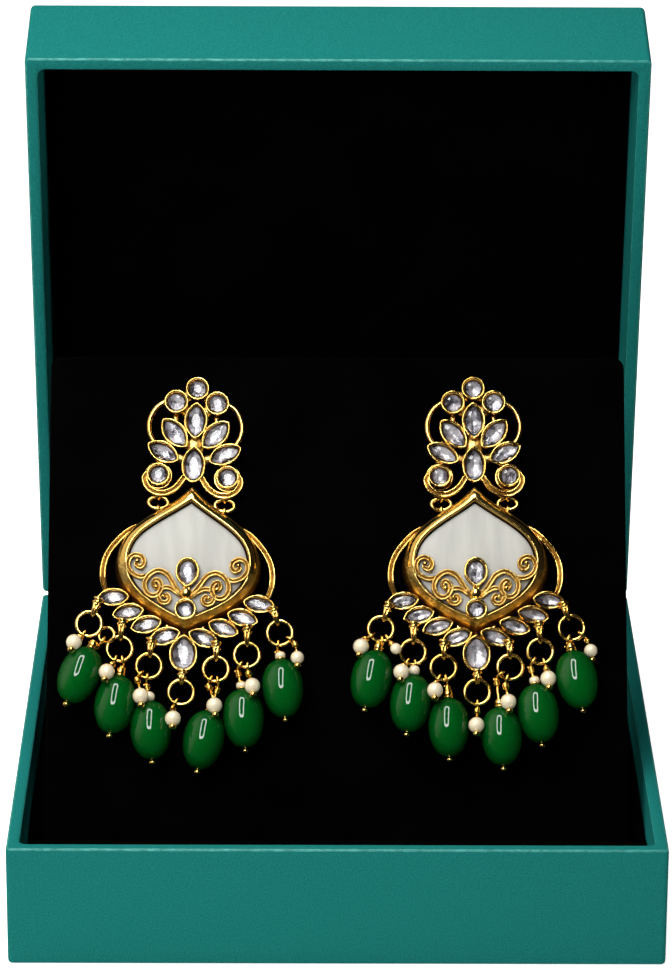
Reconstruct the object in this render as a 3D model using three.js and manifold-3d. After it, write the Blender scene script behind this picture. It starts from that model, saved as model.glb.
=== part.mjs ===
// A pair of crescent drop earrings pinned to a tilted card in an open, hinged presentation box.
// Units are millimetres, +Z is up and the box opens towards -Y. The origin is the middle of the box's underside.
// Each earring is drawn flat, with +Y up and +Z towards the viewer, and the origin at the medallion's top point.
import * as THREE from "three";
import { mergeVertices } from "three/addons/utils/BufferGeometryUtils.js";
import Module from "manifold-3d";

const wasm = await Module();
wasm.setup();

// Box
const BOX_WIDTH = 125;
const BOX_DEPTH = 128;
const TRAY_HEIGHT = 24;
const LID_HEIGHT = 24;
const WALL = 2.5;
const OUTER_CORNER = 1.6;
const RIM_GAP = 0.5;
const FIT = 0.3;
const LID_OPEN_ANGLE = 78;
const LINING_THICKNESS = 4;
const BED_RECESS = 8;
const HINGE_ROD_RADIUS = 0.9;
const HINGE_ROD_LENGTH = 108;

// Card that carries the earrings
const CARD_WIDTH = 113;
const CARD_RISE = 95.5;
const CARD_SEAT = 9;
const CARD_THICKNESS = 4;
const CARD_CORNER = 2;
const CARD_TILT = 58;
const CARD_FOOT_Y = -42;

// Placing of each earring on the card: shares of its width and rise, and a turn in degrees
const PLACING = {
  left: { across: -0.2513, up: 0.7141, turn: -2.6 },
  right: { across: 0.2372, up: 0.7162, turn: 0.5 },
};

// Heights above the card
const BACK = 0.5;
const PLATE_THICKNESS = 0.8;
const COLLAR_TOP = 3.0;
const RING_LEVEL = 2.8;
const LINK_LEVEL = 1.6;
const RIM_TOP = 4.3;
const SCROLL_LEVEL = 4.15;

// Stones in collars: half length, half width, and the shares of the crown
const COLLAR_LIP = 0.5;
const GIRDLE_DROP = 0.25;
const CROWN_RISE = 0.5;
const TABLE_SHARE = 0.55;
const STONE_SIDES = 8;
const ROUND_STONE = [2.3, 2.3];
const OVAL_STONE = [3.5, 2.2];
const LEAF_STONE = [3.3, 2.0];
const ROW_STONE = [3.2, 1.85];
const PEAR_STONE = [3.7, 2.8];
const CENTRE_STONE = [2.8, 2.2];
const TIP_STONE = [2.15, 2.15];

// Metal
const WIRE_WIDTH = 0.95;
const WIRE_SIDES = 5;
const BAND_SIDES = 4;
const BRACE_WIDTH = 1.2;
const CRESCENT_WIDTH = 1.3;
const CRESCENT_HEIGHT = 1.1;
const SCROLL_WIDTH = 0.85;
const SCROLL_HEIGHT = 0.9;
const POST_RADIUS = 0.45;
const POST_SIDES = 8;
const POST_LENGTH = 9.5;
const POST_RISE_SHARE = 0.6;
const NUT_RADIUS = 2.6;
const NUT_LENGTH = 2.6;

// Rings, eyelets and pins
const RING_STEPS = 10;
const EYE_STEPS = 6;
const RING_RADIUS = 2.42;
const RING_WIRE = 0.38;
const LINK_RADIUS = 1.68;
const EYELET_WIRE = 0.3;
const EYELET_HALF = 0.95;
const EYELET_REACH = 2.6;
const LINK_CLEARANCE = 0.2;
const LINK_ACROSS_SHARE = 0.96;
const PIN_LOOP_RADIUS = 1.0;
const PIN_WIRE = 0.24;
const PIN_SEAT = 0.6;

// Beads
const GREEN_HALF_LENGTH = 5.8;
const GREEN_RADIUS = 3.85;
const GREEN_LEVEL = 4.4;
const CAP_RADIUS = 1.0;
const CAP_LENGTH = 1.1;
const END_BALL = 0.6;
const PEARL_RADIUS = 1.5;
const BEAD_SIDES = 10;

// Stud: its widest stones lie this far out, and its top stone this far above the medallion's point
const STUD_HALF = 6.77;
const STUD_RISE = 20.15;
const STUD_STONES = [
  { name: "top", size: ROUND_STONE, shape: "round", across: 0, up: 1, turn: 0 },
  { name: "brow", size: ROUND_STONE, shape: "round", across: 0.594, up: 0.864, turn: 0, mirrored: true },
  { name: "heart", size: OVAL_STONE, shape: "leaf", across: 0, up: 0.682, turn: 90 },
  { name: "slant", size: LEAF_STONE, shape: "leaf", across: 0.594, up: 0.551, turn: 48, mirrored: true },
  { name: "side", size: LEAF_STONE, shape: "leaf", across: 0.898, up: 0.357, turn: 27, mirrored: true },
  { name: "foot", size: OVAL_STONE, shape: "pear", across: 0, up: 0.242, turn: 90 },
  { name: "heel", size: ROUND_STONE, shape: "round", across: 1, up: 0.134, turn: 0, mirrored: true },
];
const STUD_HUB_SHARES = [0, 0.44];
const STUD_SPINE_SHARES = [[0, 1], [0, 0.242]];
const STUD_TIE_SHARES = [[[0, 1], [0.594, 0.864]], [[0.594, 0.864], [0.594, 0.551]], [[0, 0.242], [0.898, 0.357]],
  [[0.898, 0.357], [1, 0.134]]];
const SIDE_WIRE_SHARES = [[0.9, 0.865], [1.22, 0.79], [1.37, 0.66], [1.33, 0.53], [1.15, 0.44]];
const FOOT_SCROLL_SHARES = [
  [0.27, 0.1], [0.5, 0.0], [0.78, -0.06], [1.08, -0.06], [1.34, 0.0], [1.46, 0.09], [1.38, 0.16],
];

// Medallion: an onion outline, with its point at the origin
const MEDALLION_HALF = 13.8;
const MEDALLION_HEIGHT = 27.3;
const RIM_SIDE = 2.05;
const RIM_POINT = 2.5;
const RIM_FOOT = 1.4;
const OUTLINE_UPPER_SHARES = [[0, 0], [0.543, 0.198], [1, 0.275], [1, 0.524]];
const OUTLINE_LOWER_SHARES = [[1, 0.524], [1, 0.762], [0.522, 0.886], [0, 1]];
const OUTLINE_STEPS = 6;
const RIM_PROFILE = [
  { inward: 0, height: 0 }, { inward: 0, height: 0.24 }, { inward: 0.32, height: 0.76 },
  { inward: 0.74, height: 1 }, { inward: 1, height: 0.9 },
];
const INLAY_DROP = 0.55;

// Stones and scrolls on the medallion's face, as shares of its half width and height
const CENTRE_STONE_SHARE = 0.615;
const TIP_STONE_SHARE = 0.882;
const UPPER_SCROLL_SHARES = [
  [0.02, 0.78], [0.11, 0.755], [0.2, 0.69], [0.28, 0.635], [0.41, 0.61], [0.535, 0.645],
  [0.59, 0.71], [0.55, 0.77], [0.46, 0.79], [0.385, 0.76], [0.375, 0.72],
];
const OUTER_SCROLL_SHARES = [
  [0.54, 0.645], [0.665, 0.66], [0.79, 0.63], [0.84, 0.575], [0.81, 0.52], [0.72, 0.505],
  [0.64, 0.535], [0.65, 0.575],
];
const LOWER_SCROLL_SHARES = [
  [0.04, 0.8], [0.14, 0.758], [0.25, 0.73], [0.35, 0.745], [0.395, 0.79], [0.355, 0.832],
  [0.285, 0.836],
];
const SCROLLS = [[UPPER_SCROLL_SHARES, 9], [OUTER_SCROLL_SHARES, 6], [LOWER_SCROLL_SHARES, 6]];
const CRESCENT_SHARES = [[0.875, 0.335], [1.02, 0.4], [1.14, 0.485], [1.195, 0.58], [1.19, 0.68], [1.14, 0.76]];

// Fringe of set stones under the medallion, from the outside in, and its middle pear
const FRINGE_BEYOND = 0.4;
const FRINGE_BELOW = 5.1;
const FRINGE_HALF = MEDALLION_HALF + FRINGE_BEYOND;
const FRINGE_DROP = MEDALLION_HEIGHT + FRINGE_BELOW;
const FRINGE = [
  { across: 1, down: 0.681, turn: -6 },
  { across: 0.785, down: 0.769, turn: -13 },
  { across: 0.528, down: 0.838, turn: -17 },
  { across: 0.265, down: 0.904, turn: -20 },
];

// Where each ring hangs: its stone, the way round that stone's collar to the eyelet, the reach, and the hang's angle
const RING_SEATS = [
  { stone: 0, seat: -12, reach: 1.0, hang: -72 },
  { stone: 1, seat: -68, reach: 1.2, hang: -88 },
  { stone: 3, seat: -20, reach: 1.0, hang: -88 },
];
const MIDDLE_RING_SHARE = 0.62;
const TIE_SHARE = 0.85;

// Drops: the ring, the loop's place round it, the pin's heading and its reach from the loop's end to the middle of
// the bead, and for pearls the height above the card. Angles are in degrees, reaches and heights shares of the span.
const DROP_SPAN = 10;
const GREEN_DROPS = {
  left: [
    { ring: 0, loop: -30, heading: -116, reach: 0.96 },
    { ring: 1, loop: -72, heading: -99, reach: 0.8 },
    { ring: 2, loop: -96, heading: -81, reach: 0.95 },
    { ring: 4, loop: -78, heading: -102, reach: 1.11 },
    { ring: 5, loop: -120, heading: -80, reach: 0.99 },
    { ring: 6, loop: -96, heading: -79, reach: 0.78 },
  ],
  right: [
    { ring: 0, loop: -84, heading: -109, reach: 0.71 },
    { ring: 1, loop: -78, heading: -101, reach: 0.7 },
    { ring: 2, loop: -78, heading: -89, reach: 0.86 },
    { ring: 4, loop: -144, heading: -86, reach: 1.18 },
    { ring: 5, loop: -126, heading: -82, reach: 0.97 },
    { ring: 6, loop: -108, heading: -76, reach: 0.74 },
  ],
};
const PEARL_DROPS = {
  left: [
    { ring: 0, loop: -114, heading: -137, reach: 0.16, level: 0.6 },
    { ring: 1, loop: -108, heading: -117, reach: 0.22, level: 0.69 },
    { ring: 2, loop: -132, heading: -74, reach: 0.42, level: 0.7 },
    { ring: 3, loop: -114, heading: -85, reach: 0.28, level: 0.77 },
    { ring: 4, loop: -114, heading: -71, reach: 0.48, level: 0.65 },
    { ring: 5, loop: -84, heading: -72, reach: 0.34, level: 0.69 },
    { ring: 6, loop: -30, heading: -79, reach: 0.35, level: 0.59 },
  ],
  right: [
    { ring: 0, loop: -144, heading: -123, reach: 0.21, level: 0.51 },
    { ring: 1, loop: -120, heading: -115, reach: 0.16, level: 0.65 },
    { ring: 2, loop: -114, heading: -102, reach: 0.2, level: 0.73 },
    { ring: 3, loop: -90, heading: -96, reach: 0.36, level: 0.69 },
    { ring: 4, loop: -108, heading: -84, reach: 0.41, level: 0.66 },
    { ring: 5, loop: -72, heading: -84, reach: 0.25, level: 0.55 },
    { ring: 6, loop: -36, heading: -71, reach: 0.26, level: 0.28 },
  ],
};

const material = (color, roughness, metalness) => new THREE.MeshStandardMaterial({ color, roughness, metalness });
const GOLD = material(0xc99a2e, 0.28, 1);
const MOTHER_OF_PEARL = material(0xe6e3dc, 0.3, 0);
const GREEN_STONE = material(0x0d5c22, 0.15, 0);
const PEARL = material(0xe9dcc4, 0.3, 0);
const TEAL_BOARD = material(0x1c7a70, 0.6, 0);
const BLACK_VELVET = material(0x060606, 0.95, 0);
const STEEL = material(0x8f8f8f, 0.35, 1);

const radians = THREE.MathUtils.degToRad;
const polar = (angle, distance) => new THREE.Vector2(distance, 0).rotateAround(new THREE.Vector2(), radians(angle));

// A solid from any closed three.js geometry.
function solidOf(geometry) {
  const bare = new THREE.BufferGeometry();
  bare.setAttribute("position", geometry.getAttribute("position"));
  if (geometry.index) bare.setIndex(geometry.index);
  const merged = mergeVertices(bare, 1e-4);
  return new wasm.Manifold(new wasm.Mesh({
    numProp: 3,
    vertProperties: new Float32Array(merged.getAttribute("position").array),
    triVerts: new Uint32Array(merged.index.array),
  }));
}

// A three.js geometry from a solid.
function geometryOf(solid) {
  const { vertProperties, triVerts } = solid.getMesh();
  const geometry = new THREE.BufferGeometry();
  geometry.setAttribute("position", new THREE.BufferAttribute(vertProperties, 3));
  geometry.setIndex(new THREE.BufferAttribute(triVerts, 1));
  return geometry;
}

const joined = (geometries) => geometries.map(solidOf).reduce((all, next) => all.add(next));

function piece(name, shape, finish) {
  const mesh = new THREE.Mesh(shape.isBufferGeometry ? shape : geometryOf(shape), finish);
  mesh.name = name;
  return mesh;
}

// A closed surface through rings of points, each with as many points as the next. Its ends are capped, or meet.
function loft(rings, endsMeet = false) {
  const count = rings[0].length;
  const faces = [];
  const spans = endsMeet ? rings.length : rings.length - 1;
  for (let i = 0; i < spans; i++) {
    const here = i * count;
    const next = ((i + 1) % rings.length) * count;
    for (let j = 0; j < count; j++) {
      const k = (j + 1) % count;
      faces.push(here + j, here + k, next + k, here + j, next + k, next + j);
    }
  }
  if (!endsMeet) {
    const end = (rings.length - 1) * count;
    for (let j = 1; j < count - 1; j++) faces.push(0, j + 1, j, end, end + j, end + j + 1);
  }
  const points = rings.flat();
  const volume = faces.reduce((sum, _, i) => {
    if (i % 3) return sum;
    const [a, b, c] = [points[faces[i]], points[faces[i + 1]], points[faces[i + 2]]];
    return sum + a.dot(new THREE.Vector3().crossVectors(b, c));
  }, 0);
  if (volume < 0) faces.reverse();
  return new THREE.BufferGeometry().setFromPoints(points).setIndex(faces);
}

// A band with flat faces along a smooth curve that lies level, through points given in the plane.
function levelBand(points, level, width, height, steps) {
  const curve = new THREE.CatmullRomCurve3(points.map(([x, y]) => new THREE.Vector3(x, y, level)));
  const rings = [];
  for (let i = 0; i <= steps; i++) {
    const at = curve.getPoint(i / steps);
    const along = curve.getTangent(i / steps);
    const aside = new THREE.Vector3(-along.y, along.x, 0);
    const ring = [];
    for (let j = 0; j < BAND_SIDES; j++) {
      const turn = ((j + 0.5) * 2 * Math.PI) / BAND_SIDES;
      const point = at.clone().addScaledVector(aside, width * Math.SQRT1_2 * Math.cos(turn));
      point.z += height * Math.SQRT1_2 * Math.sin(turn);
      ring.push(point);
    }
    rings.push(ring);
  }
  return loft(rings);
}

const scaled = (table, half, height) => table.map(([x, y]) => [x * half, y * height]);

// Outline of a stone with its long axis along X: an oval, a leaf with two points or a pear with one.
function stoneOutline(shape, halfLength, halfWidth) {
  const points = [];
  for (let i = 0; i < STONE_SIDES; i++) {
    const turn = (i * 2 * Math.PI) / STONE_SIDES;
    const pinched = shape === "leaf" || (shape === "pear" && Math.cos(turn) > 0);
    const pinch = pinched ? Math.abs(Math.sin(turn)) ** 0.5 : 1;
    points.push(new THREE.Vector2(halfLength * Math.cos(turn), halfWidth * Math.sin(turn) * pinch));
  }
  return points;
}

// A closed surface up through outlines with equal numbers of points, each at its height.
const stack = (layers) => loft(layers.map(([outline, z]) => outline.map(({ x, y }) => new THREE.Vector3(x, y, z))));

// A stone in its collar as a stack of outlines: collar wall, sloping lip, crown facets and table.
function setStone(shape, [halfLength, halfWidth], x, y, turn, foot, top) {
  const outline = (lip, share) => stoneOutline(shape, (halfLength - lip) * share, (halfWidth - lip) * share);
  const setting = stack([
    [outline(0, 1), foot],
    [outline(0, 1), top],
    [outline(COLLAR_LIP, 1), top - GIRDLE_DROP],
    [outline(COLLAR_LIP, TABLE_SHARE), top - GIRDLE_DROP + CROWN_RISE],
  ]);
  return setting.rotateZ(radians(turn)).translate(x, y, 0);
}

// A square strip of metal behind the stones.
const brace = (points, steps = 1) => levelBand(points, BACK + BRACE_WIDTH / 2, BRACE_WIDTH, BRACE_WIDTH, steps);

// A round wire through points, with its joints turned about one direction.
function bentWire(path, radius, about) {
  const rings = path.map((at, i) => {
    const along = path[Math.min(i + 1, path.length - 1)].clone().sub(path[Math.max(i - 1, 0)]).normalize();
    const aside = new THREE.Vector3().crossVectors(along, about).normalize();
    const across = new THREE.Vector3().crossVectors(aside, along);
    return Array.from({ length: WIRE_SIDES }, (_, j) => {
      const turn = (j * 2 * Math.PI) / WIRE_SIDES;
      const spoke = aside.clone().multiplyScalar(Math.cos(turn)).addScaledVector(across, Math.sin(turn));
      return at.clone().addScaledVector(spoke, radius);
    });
  });
  return loft(rings);
}

// A staple seen edge-on: from inside a collar it bends down round a ring's wire and back.
function staple(root, hang, reach, level) {
  const out = new THREE.Vector3(...polar(hang, 1), 0);
  const up = new THREE.Vector3(0, 0, 1);
  const end = reach + RING_WIRE + LINK_CLEARANCE + EYELET_WIRE;
  const shoulder = end - EYELET_HALF;
  const path = [[0, -1], [shoulder, -1], [end, -0.5], [end, 0.5], [shoulder, 1], [0, 1]].map(([along, side]) =>
    new THREE.Vector3(root.x, root.y, level).addScaledVector(out, along).addScaledVector(up, side * EYELET_HALF));
  return bentWire(path, EYELET_WIRE, new THREE.Vector3().crossVectors(out, up));
}

function flatRing(radius, wire, centre, level) {
  return new THREE.TorusGeometry(radius, wire, WIRE_SIDES, RING_STEPS).translate(centre.x, centre.y, level);
}

const linkCentre = (side) => {
  const lowest = Math.min(...FOOT_SCROLL_SHARES.map(([, up]) => up));
  return new THREE.Vector2(side * LINK_ACROSS_SHARE * STUD_HALF, lowest * STUD_RISE - LINK_RADIUS - LINK_CLEARANCE);
};

// An upright loop round a link's wire, above or below the link's middle.
function linkEye(side, where) {
  const { x, y } = linkCentre(side);
  const loop = new THREE.TorusGeometry(EYELET_HALF, EYELET_WIRE, WIRE_SIDES, EYE_STEPS).rotateY(Math.PI / 2);
  return loop.translate(x, y + where * LINK_RADIUS, LINK_LEVEL);
}

function makeStud() {
  const parts = [];
  for (const { shape, size, across, up, turn, mirrored } of STUD_STONES) {
    const [x, y] = [across * STUD_HALF, up * STUD_RISE];
    parts.push(setStone(shape, size, x, y, turn, BACK, COLLAR_TOP));
    if (mirrored) parts.push(setStone(shape, size, -x, y, 180 - turn, BACK, COLLAR_TOP));
  }
  parts.push(brace(scaled(STUD_SPINE_SHARES, STUD_HALF, STUD_RISE)));
  const level = COLLAR_TOP - WIRE_WIDTH / 2 + LINK_CLEARANCE;
  for (const side of [1, -1]) {
    const place = (table) => table.map(([x, y]) => [side * x * STUD_HALF, y * STUD_RISE]);
    for (const tie of STUD_TIE_SHARES) parts.push(brace(place(tie)));
    parts.push(brace(place([STUD_HUB_SHARES, STUD_TIE_SHARES[1][1]])));
    parts.push(levelBand(place(SIDE_WIRE_SHARES), level, WIRE_WIDTH, WIRE_WIDTH, 5));
    parts.push(levelBand(place(FOOT_SCROLL_SHARES), level, WIRE_WIDTH, WIRE_WIDTH, 6));
    parts.push(linkEye(side, 1));
  }
  const post = new THREE.CylinderGeometry(POST_RADIUS, POST_RADIUS, POST_LENGTH + BACK, POST_SIDES);
  post.rotateX(Math.PI / 2).translate(0, POST_RISE_SHARE * STUD_RISE, (BACK - POST_LENGTH) / 2 + PLATE_THICKNESS);
  parts.push(post);
  return joined(parts);
}

// Points round the medallion from its point, down the right and up the left.
function onionOutline(half, top, height) {
  const at = ([x, y]) => new THREE.Vector2(x * half, top - y * height);
  const upper = new THREE.CubicBezierCurve(...OUTLINE_UPPER_SHARES.map(at)).getPoints(OUTLINE_STEPS);
  const lower = new THREE.CubicBezierCurve(...OUTLINE_LOWER_SHARES.map(at)).getPoints(OUTLINE_STEPS);
  const right = [...upper.slice(0, -1), ...lower];
  const left = right.slice(1, -1).reverse().map((point) => new THREE.Vector2(-point.x, point.y));
  return [...right, ...left];
}

const rimOutline = (inset = 0) =>
  onionOutline(
    MEDALLION_HALF - RIM_SIDE - inset,
    -RIM_POINT - inset * 1.4,
    MEDALLION_HEIGHT - RIM_POINT - RIM_FOOT - inset * 2.6,
  );

function plate(outline, low, high) {
  const shape = new THREE.Shape(outline);
  return new THREE.ExtrudeGeometry(shape, { depth: high - low, bevelEnabled: false }).translate(0, 0, low);
}

const fringePlace = (stone, side) => new THREE.Vector2(side * stone.across * FRINGE_HALF, -stone.down * FRINGE_DROP);

// Where ring number 0 to 6, from the left, hangs: its eyelet's root, the hang's angle, the reach and its centre.
function ringSeat(number) {
  const middle = RING_SEATS.length;
  if (number === middle) {
    const root = new THREE.Vector2(0, -FRINGE_DROP - PEAR_STONE[0] + COLLAR_LIP);
    const reach = MIDDLE_RING_SHARE * EYELET_REACH + COLLAR_LIP;
    return { root, hang: -90, reach, centre: root.clone().add(polar(-90, reach + RING_RADIUS)) };
  }
  const side = number < middle ? -1 : 1;
  const seat = RING_SEATS[number < middle ? number : 2 * middle - number];
  const stone = FRINGE[seat.stone];
  const spot = polar(seat.seat, 1);
  const root = new THREE.Vector2(spot.x * (ROW_STONE[0] - COLLAR_LIP), spot.y * (ROW_STONE[1] - COLLAR_LIP));
  root.x *= side;
  root.add(fringePlace(stone, side));
  const hang = side > 0 ? seat.hang : 180 - seat.hang;
  const reach = seat.reach * EYELET_REACH + COLLAR_LIP;
  return { root, hang, reach, centre: root.clone().add(polar(hang, reach + RING_RADIUS)) };
}

// A shallow dish with a domed rim: its floor holds the inlay.
function makeDish() {
  const outer = onionOutline(MEDALLION_HALF, 0, MEDALLION_HEIGHT);
  const inner = rimOutline();
  const layers = RIM_PROFILE.map(({ inward, height }) =>
    [outer.map((point, i) => point.clone().lerp(inner[i], inward)), BACK + height * (RIM_TOP - BACK)]);
  return stack([...layers, [inner, BACK + PLATE_THICKNESS]]);
}

function makeMedallion() {
  const parts = [makeDish()];
  const faceFoot = SCROLL_LEVEL - SCROLL_HEIGHT / 2;
  const faceTop = SCROLL_LEVEL + SCROLL_HEIGHT;
  const [centre, tip] = [-CENTRE_STONE_SHARE * MEDALLION_HEIGHT, -TIP_STONE_SHARE * MEDALLION_HEIGHT];
  parts.push(setStone("pear", CENTRE_STONE, 0, centre, -90, faceFoot, faceTop));
  parts.push(setStone("round", TIP_STONE, 0, tip, 0, faceFoot, faceTop));
  parts.push(levelBand([[0, centre], [0, tip]], SCROLL_LEVEL, SCROLL_WIDTH, SCROLL_HEIGHT, 1));
  for (const side of [1, -1]) {
    const face = (table) => table.map(([x, y]) => [side * x * MEDALLION_HALF, -y * MEDALLION_HEIGHT]);
    for (const [points, steps] of SCROLLS) {
      parts.push(levelBand(face(points), SCROLL_LEVEL, SCROLL_WIDTH, SCROLL_HEIGHT, steps));
    }
    parts.push(levelBand(face(CRESCENT_SHARES), BACK + CRESCENT_HEIGHT, CRESCENT_WIDTH, CRESCENT_HEIGHT, 5));
    const row = FRINGE.map((stone) => fringePlace(stone, side));
    row.forEach(({ x, y }, i) => {
      parts.push(setStone("leaf", ROW_STONE, x, y, side * FRINGE[i].turn, BACK, COLLAR_TOP));
    });
    parts.push(brace([...row.map(({ x, y }) => [x, y]), [0, -FRINGE_DROP]], row.length));
    const { x, y } = row[2];
    parts.push(brace([[x, y], [x * TIE_SHARE, y * TIE_SHARE]]));
    parts.push(linkEye(side, -1));
  }
  parts.push(setStone("pear", PEAR_STONE, 0, -FRINGE_DROP, 90, BACK, COLLAR_TOP));
  parts.push(brace([[0, -FRINGE_DROP], [0, -MEDALLION_HEIGHT]]));
  for (let i = 0; i <= 2 * RING_SEATS.length; i++) {
    const { root, hang, reach } = ringSeat(i);
    parts.push(staple(root, hang, reach, RING_LEVEL));
  }
  const bores = [1, -1].map((side) =>
    solidOf(flatRing(LINK_RADIUS, RING_WIRE + LINK_CLEARANCE, linkCentre(side), LINK_LEVEL)));
  return bores.reduce((metal, bore) => metal.subtract(bore), joined(parts));
}

// A bead with its end ball, and a cap if it has one, turned about an axis that runs down -Y from the bead's top.
function threaded(halfLength, radius, rows, capRadius) {
  const profile = [new THREE.Vector2(0, 0)];
  if (capRadius > 0) {
    profile[0].x = capRadius;
    profile.unshift(new THREE.Vector2(0, CAP_LENGTH), new THREE.Vector2(capRadius, CAP_LENGTH));
  }
  for (let i = 1; i < rows; i++) {
    const turn = (i * Math.PI) / rows;
    profile.push(new THREE.Vector2(radius * Math.sin(turn), halfLength * (Math.cos(turn) - 1)));
  }
  const end = -2 * halfLength;
  if (capRadius > 0) profile.push(new THREE.Vector2(PIN_WIRE, end));
  profile.push(new THREE.Vector2(END_BALL, end - END_BALL), new THREE.Vector2(0, end - 2 * END_BALL));
  return new THREE.LatheGeometry(profile.reverse(), BEAD_SIDES);
}

// A head pin with its bead: an eye bent round the ring's wire, then a straight neck down to the bead.
function makeDrop({ ring, loop, heading, reach, level }, halfLength, radius, rows, capRadius) {
  const { centre } = ringSeat(ring);
  const onRing = centre.clone().add(polar(loop, RING_RADIUS));
  const out = new THREE.Vector3(...polar(loop, PIN_LOOP_RADIUS), 0);
  const up = new THREE.Vector3(0, 0, PIN_LOOP_RADIUS);
  const middleOfEye = new THREE.Vector3(onRing.x, onRing.y, RING_LEVEL);
  const start = middleOfEye.clone().add(out);
  const middle = new THREE.Vector3(start.x, start.y, level ? level * DROP_SPAN : GREEN_LEVEL);
  middle.add(new THREE.Vector3(...polar(heading, reach * DROP_SPAN), 0));
  const line = middle.clone().sub(start);
  const top = middle.clone().addScaledVector(line.normalize(), -halfLength);
  const path = [top.clone().addScaledVector(line, PIN_SEAT), start];
  for (let i = 1; i < EYE_STEPS; i++) {
    const turn = (i * 2 * Math.PI) / EYE_STEPS;
    path.push(middleOfEye.clone().addScaledVector(out, Math.cos(turn)).addScaledVector(up, Math.sin(turn)));
  }
  const bead = threaded(halfLength, radius, rows, capRadius);
  bead.applyQuaternion(new THREE.Quaternion().setFromUnitVectors(new THREE.Vector3(0, -1, 0), line));
  const about = new THREE.Vector3().crossVectors(out, up).normalize();
  return joined([bentWire(path, PIN_WIRE, about), bead.translate(...top)]);
}

function makeEarring(side) {
  const earring = new THREE.Group();
  earring.add(piece(`${side}_stud`, makeStud(), GOLD));
  earring.add(piece(`${side}_medallion`, makeMedallion(), GOLD));
  const inlay = plate(rimOutline(FIT), BACK + PLATE_THICKNESS + FIT, RIM_TOP - INLAY_DROP - FIT);
  earring.add(piece(`${side}_pearl_inlay`, inlay, MOTHER_OF_PEARL));
  for (const [name, x] of [["outer", -1], ["inner", 1]]) {
    const centre = linkCentre(side === "left" ? x : -x);
    earring.add(piece(`${side}_link_${name}`, flatRing(LINK_RADIUS, RING_WIRE, centre, LINK_LEVEL), GOLD));
  }
  for (let i = 0; i <= 2 * RING_SEATS.length; i++) {
    const ring = flatRing(RING_RADIUS, RING_WIRE, ringSeat(i).centre, RING_LEVEL);
    earring.add(piece(`${side}_ring_${i + 1}`, ring, GOLD));
  }
  GREEN_DROPS[side].forEach((drop, i) => {
    const solid = makeDrop(drop, GREEN_HALF_LENGTH, GREEN_RADIUS, 4, CAP_RADIUS);
    earring.add(piece(`${side}_green_drop_${i + 1}`, solid, GREEN_STONE));
  });
  PEARL_DROPS[side].forEach((drop, i) => {
    const solid = makeDrop(drop, PEARL_RADIUS, PEARL_RADIUS, 4, 0);
    earring.add(piece(`${side}_pearl_drop_${i + 1}`, solid, PEARL));
  });
  const bore = new THREE.Path().absarc(0, 0, POST_RADIUS + FIT, 0, 2 * Math.PI);
  const disc = new THREE.Shape().absarc(0, 0, NUT_RADIUS, 0, 2 * Math.PI);
  disc.holes.push(bore);
  const nut = new THREE.ExtrudeGeometry(disc, { depth: NUT_LENGTH, bevelEnabled: false, curveSegments: 5 });
  nut.translate(0, POST_RISE_SHARE * STUD_RISE, -CARD_THICKNESS - FIT - NUT_LENGTH);
  earring.add(piece(`${side}_ear_nut`, nut, STEEL));
  const { across, up, turn } = PLACING[side];
  earring.position.set(across * CARD_WIDTH, up * CARD_RISE, 0);
  earring.rotation.z = radians(turn);
  return earring;
}

function roundedRectangle(width, depth, corner) {
  const [x, y] = [width / 2, depth / 2];
  const shape = new THREE.Shape();
  shape.absarc(x - corner, y - corner, corner, 0, Math.PI / 2);
  shape.absarc(corner - x, y - corner, corner, Math.PI / 2, Math.PI);
  shape.absarc(corner - x, corner - y, corner, Math.PI, 1.5 * Math.PI);
  shape.absarc(x - corner, corner - y, corner, 1.5 * Math.PI, 2 * Math.PI);
  return shape;
}

// A block with its foot on the ground and its middle on the axis.
const block = (width, depth, height) => new THREE.BoxGeometry(width, depth, height).translate(0, 0, height / 2);

// An open box with its floor at the bottom, its mouth up, and a groove for the hinge rod along its back edge.
function openBox(height, axisHeight) {
  const settings = { depth: height, bevelEnabled: false, curveSegments: 3 };
  const shell = solidOf(new THREE.ExtrudeGeometry(roundedRectangle(BOX_WIDTH, BOX_DEPTH, OUTER_CORNER), settings));
  const hollow = block(BOX_WIDTH - 2 * WALL, BOX_DEPTH - 2 * WALL, height).translate(0, 0, WALL);
  const [radius, length] = [HINGE_ROD_RADIUS + FIT, HINGE_ROD_LENGTH + 2 * FIT];
  const groove = new THREE.CylinderGeometry(radius, radius, length, 10);
  groove.rotateZ(Math.PI / 2).translate(0, BOX_DEPTH / 2, axisHeight);
  return shell.subtract(solidOf(hollow)).subtract(solidOf(groove));
}

const hingeHeight = TRAY_HEIGHT + RIM_GAP / 2;
const bedTop = TRAY_HEIGHT - BED_RECESS;

function makeCard() {
  const height = CARD_RISE + CARD_SEAT;
  const shape = roundedRectangle(CARD_WIDTH, height, CARD_CORNER);
  for (const { across, up, turn } of Object.values(PLACING)) {
    const post = new THREE.Vector2(0, POST_RISE_SHARE * STUD_RISE).rotateAround(new THREE.Vector2(), radians(turn));
    post.add(new THREE.Vector2(across * CARD_WIDTH, up * CARD_RISE - (CARD_RISE - CARD_SEAT) / 2));
    const hole = new THREE.Path();
    hole.absarc(post.x, post.y, POST_RADIUS + FIT, 0, 2 * Math.PI);
    shape.holes.push(hole);
  }
  const card = new THREE.ExtrudeGeometry(shape, { depth: CARD_THICKNESS, bevelEnabled: false, curveSegments: 3 });
  return card.translate(0, (CARD_RISE - CARD_SEAT) / 2, -CARD_THICKNESS);
}

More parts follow.
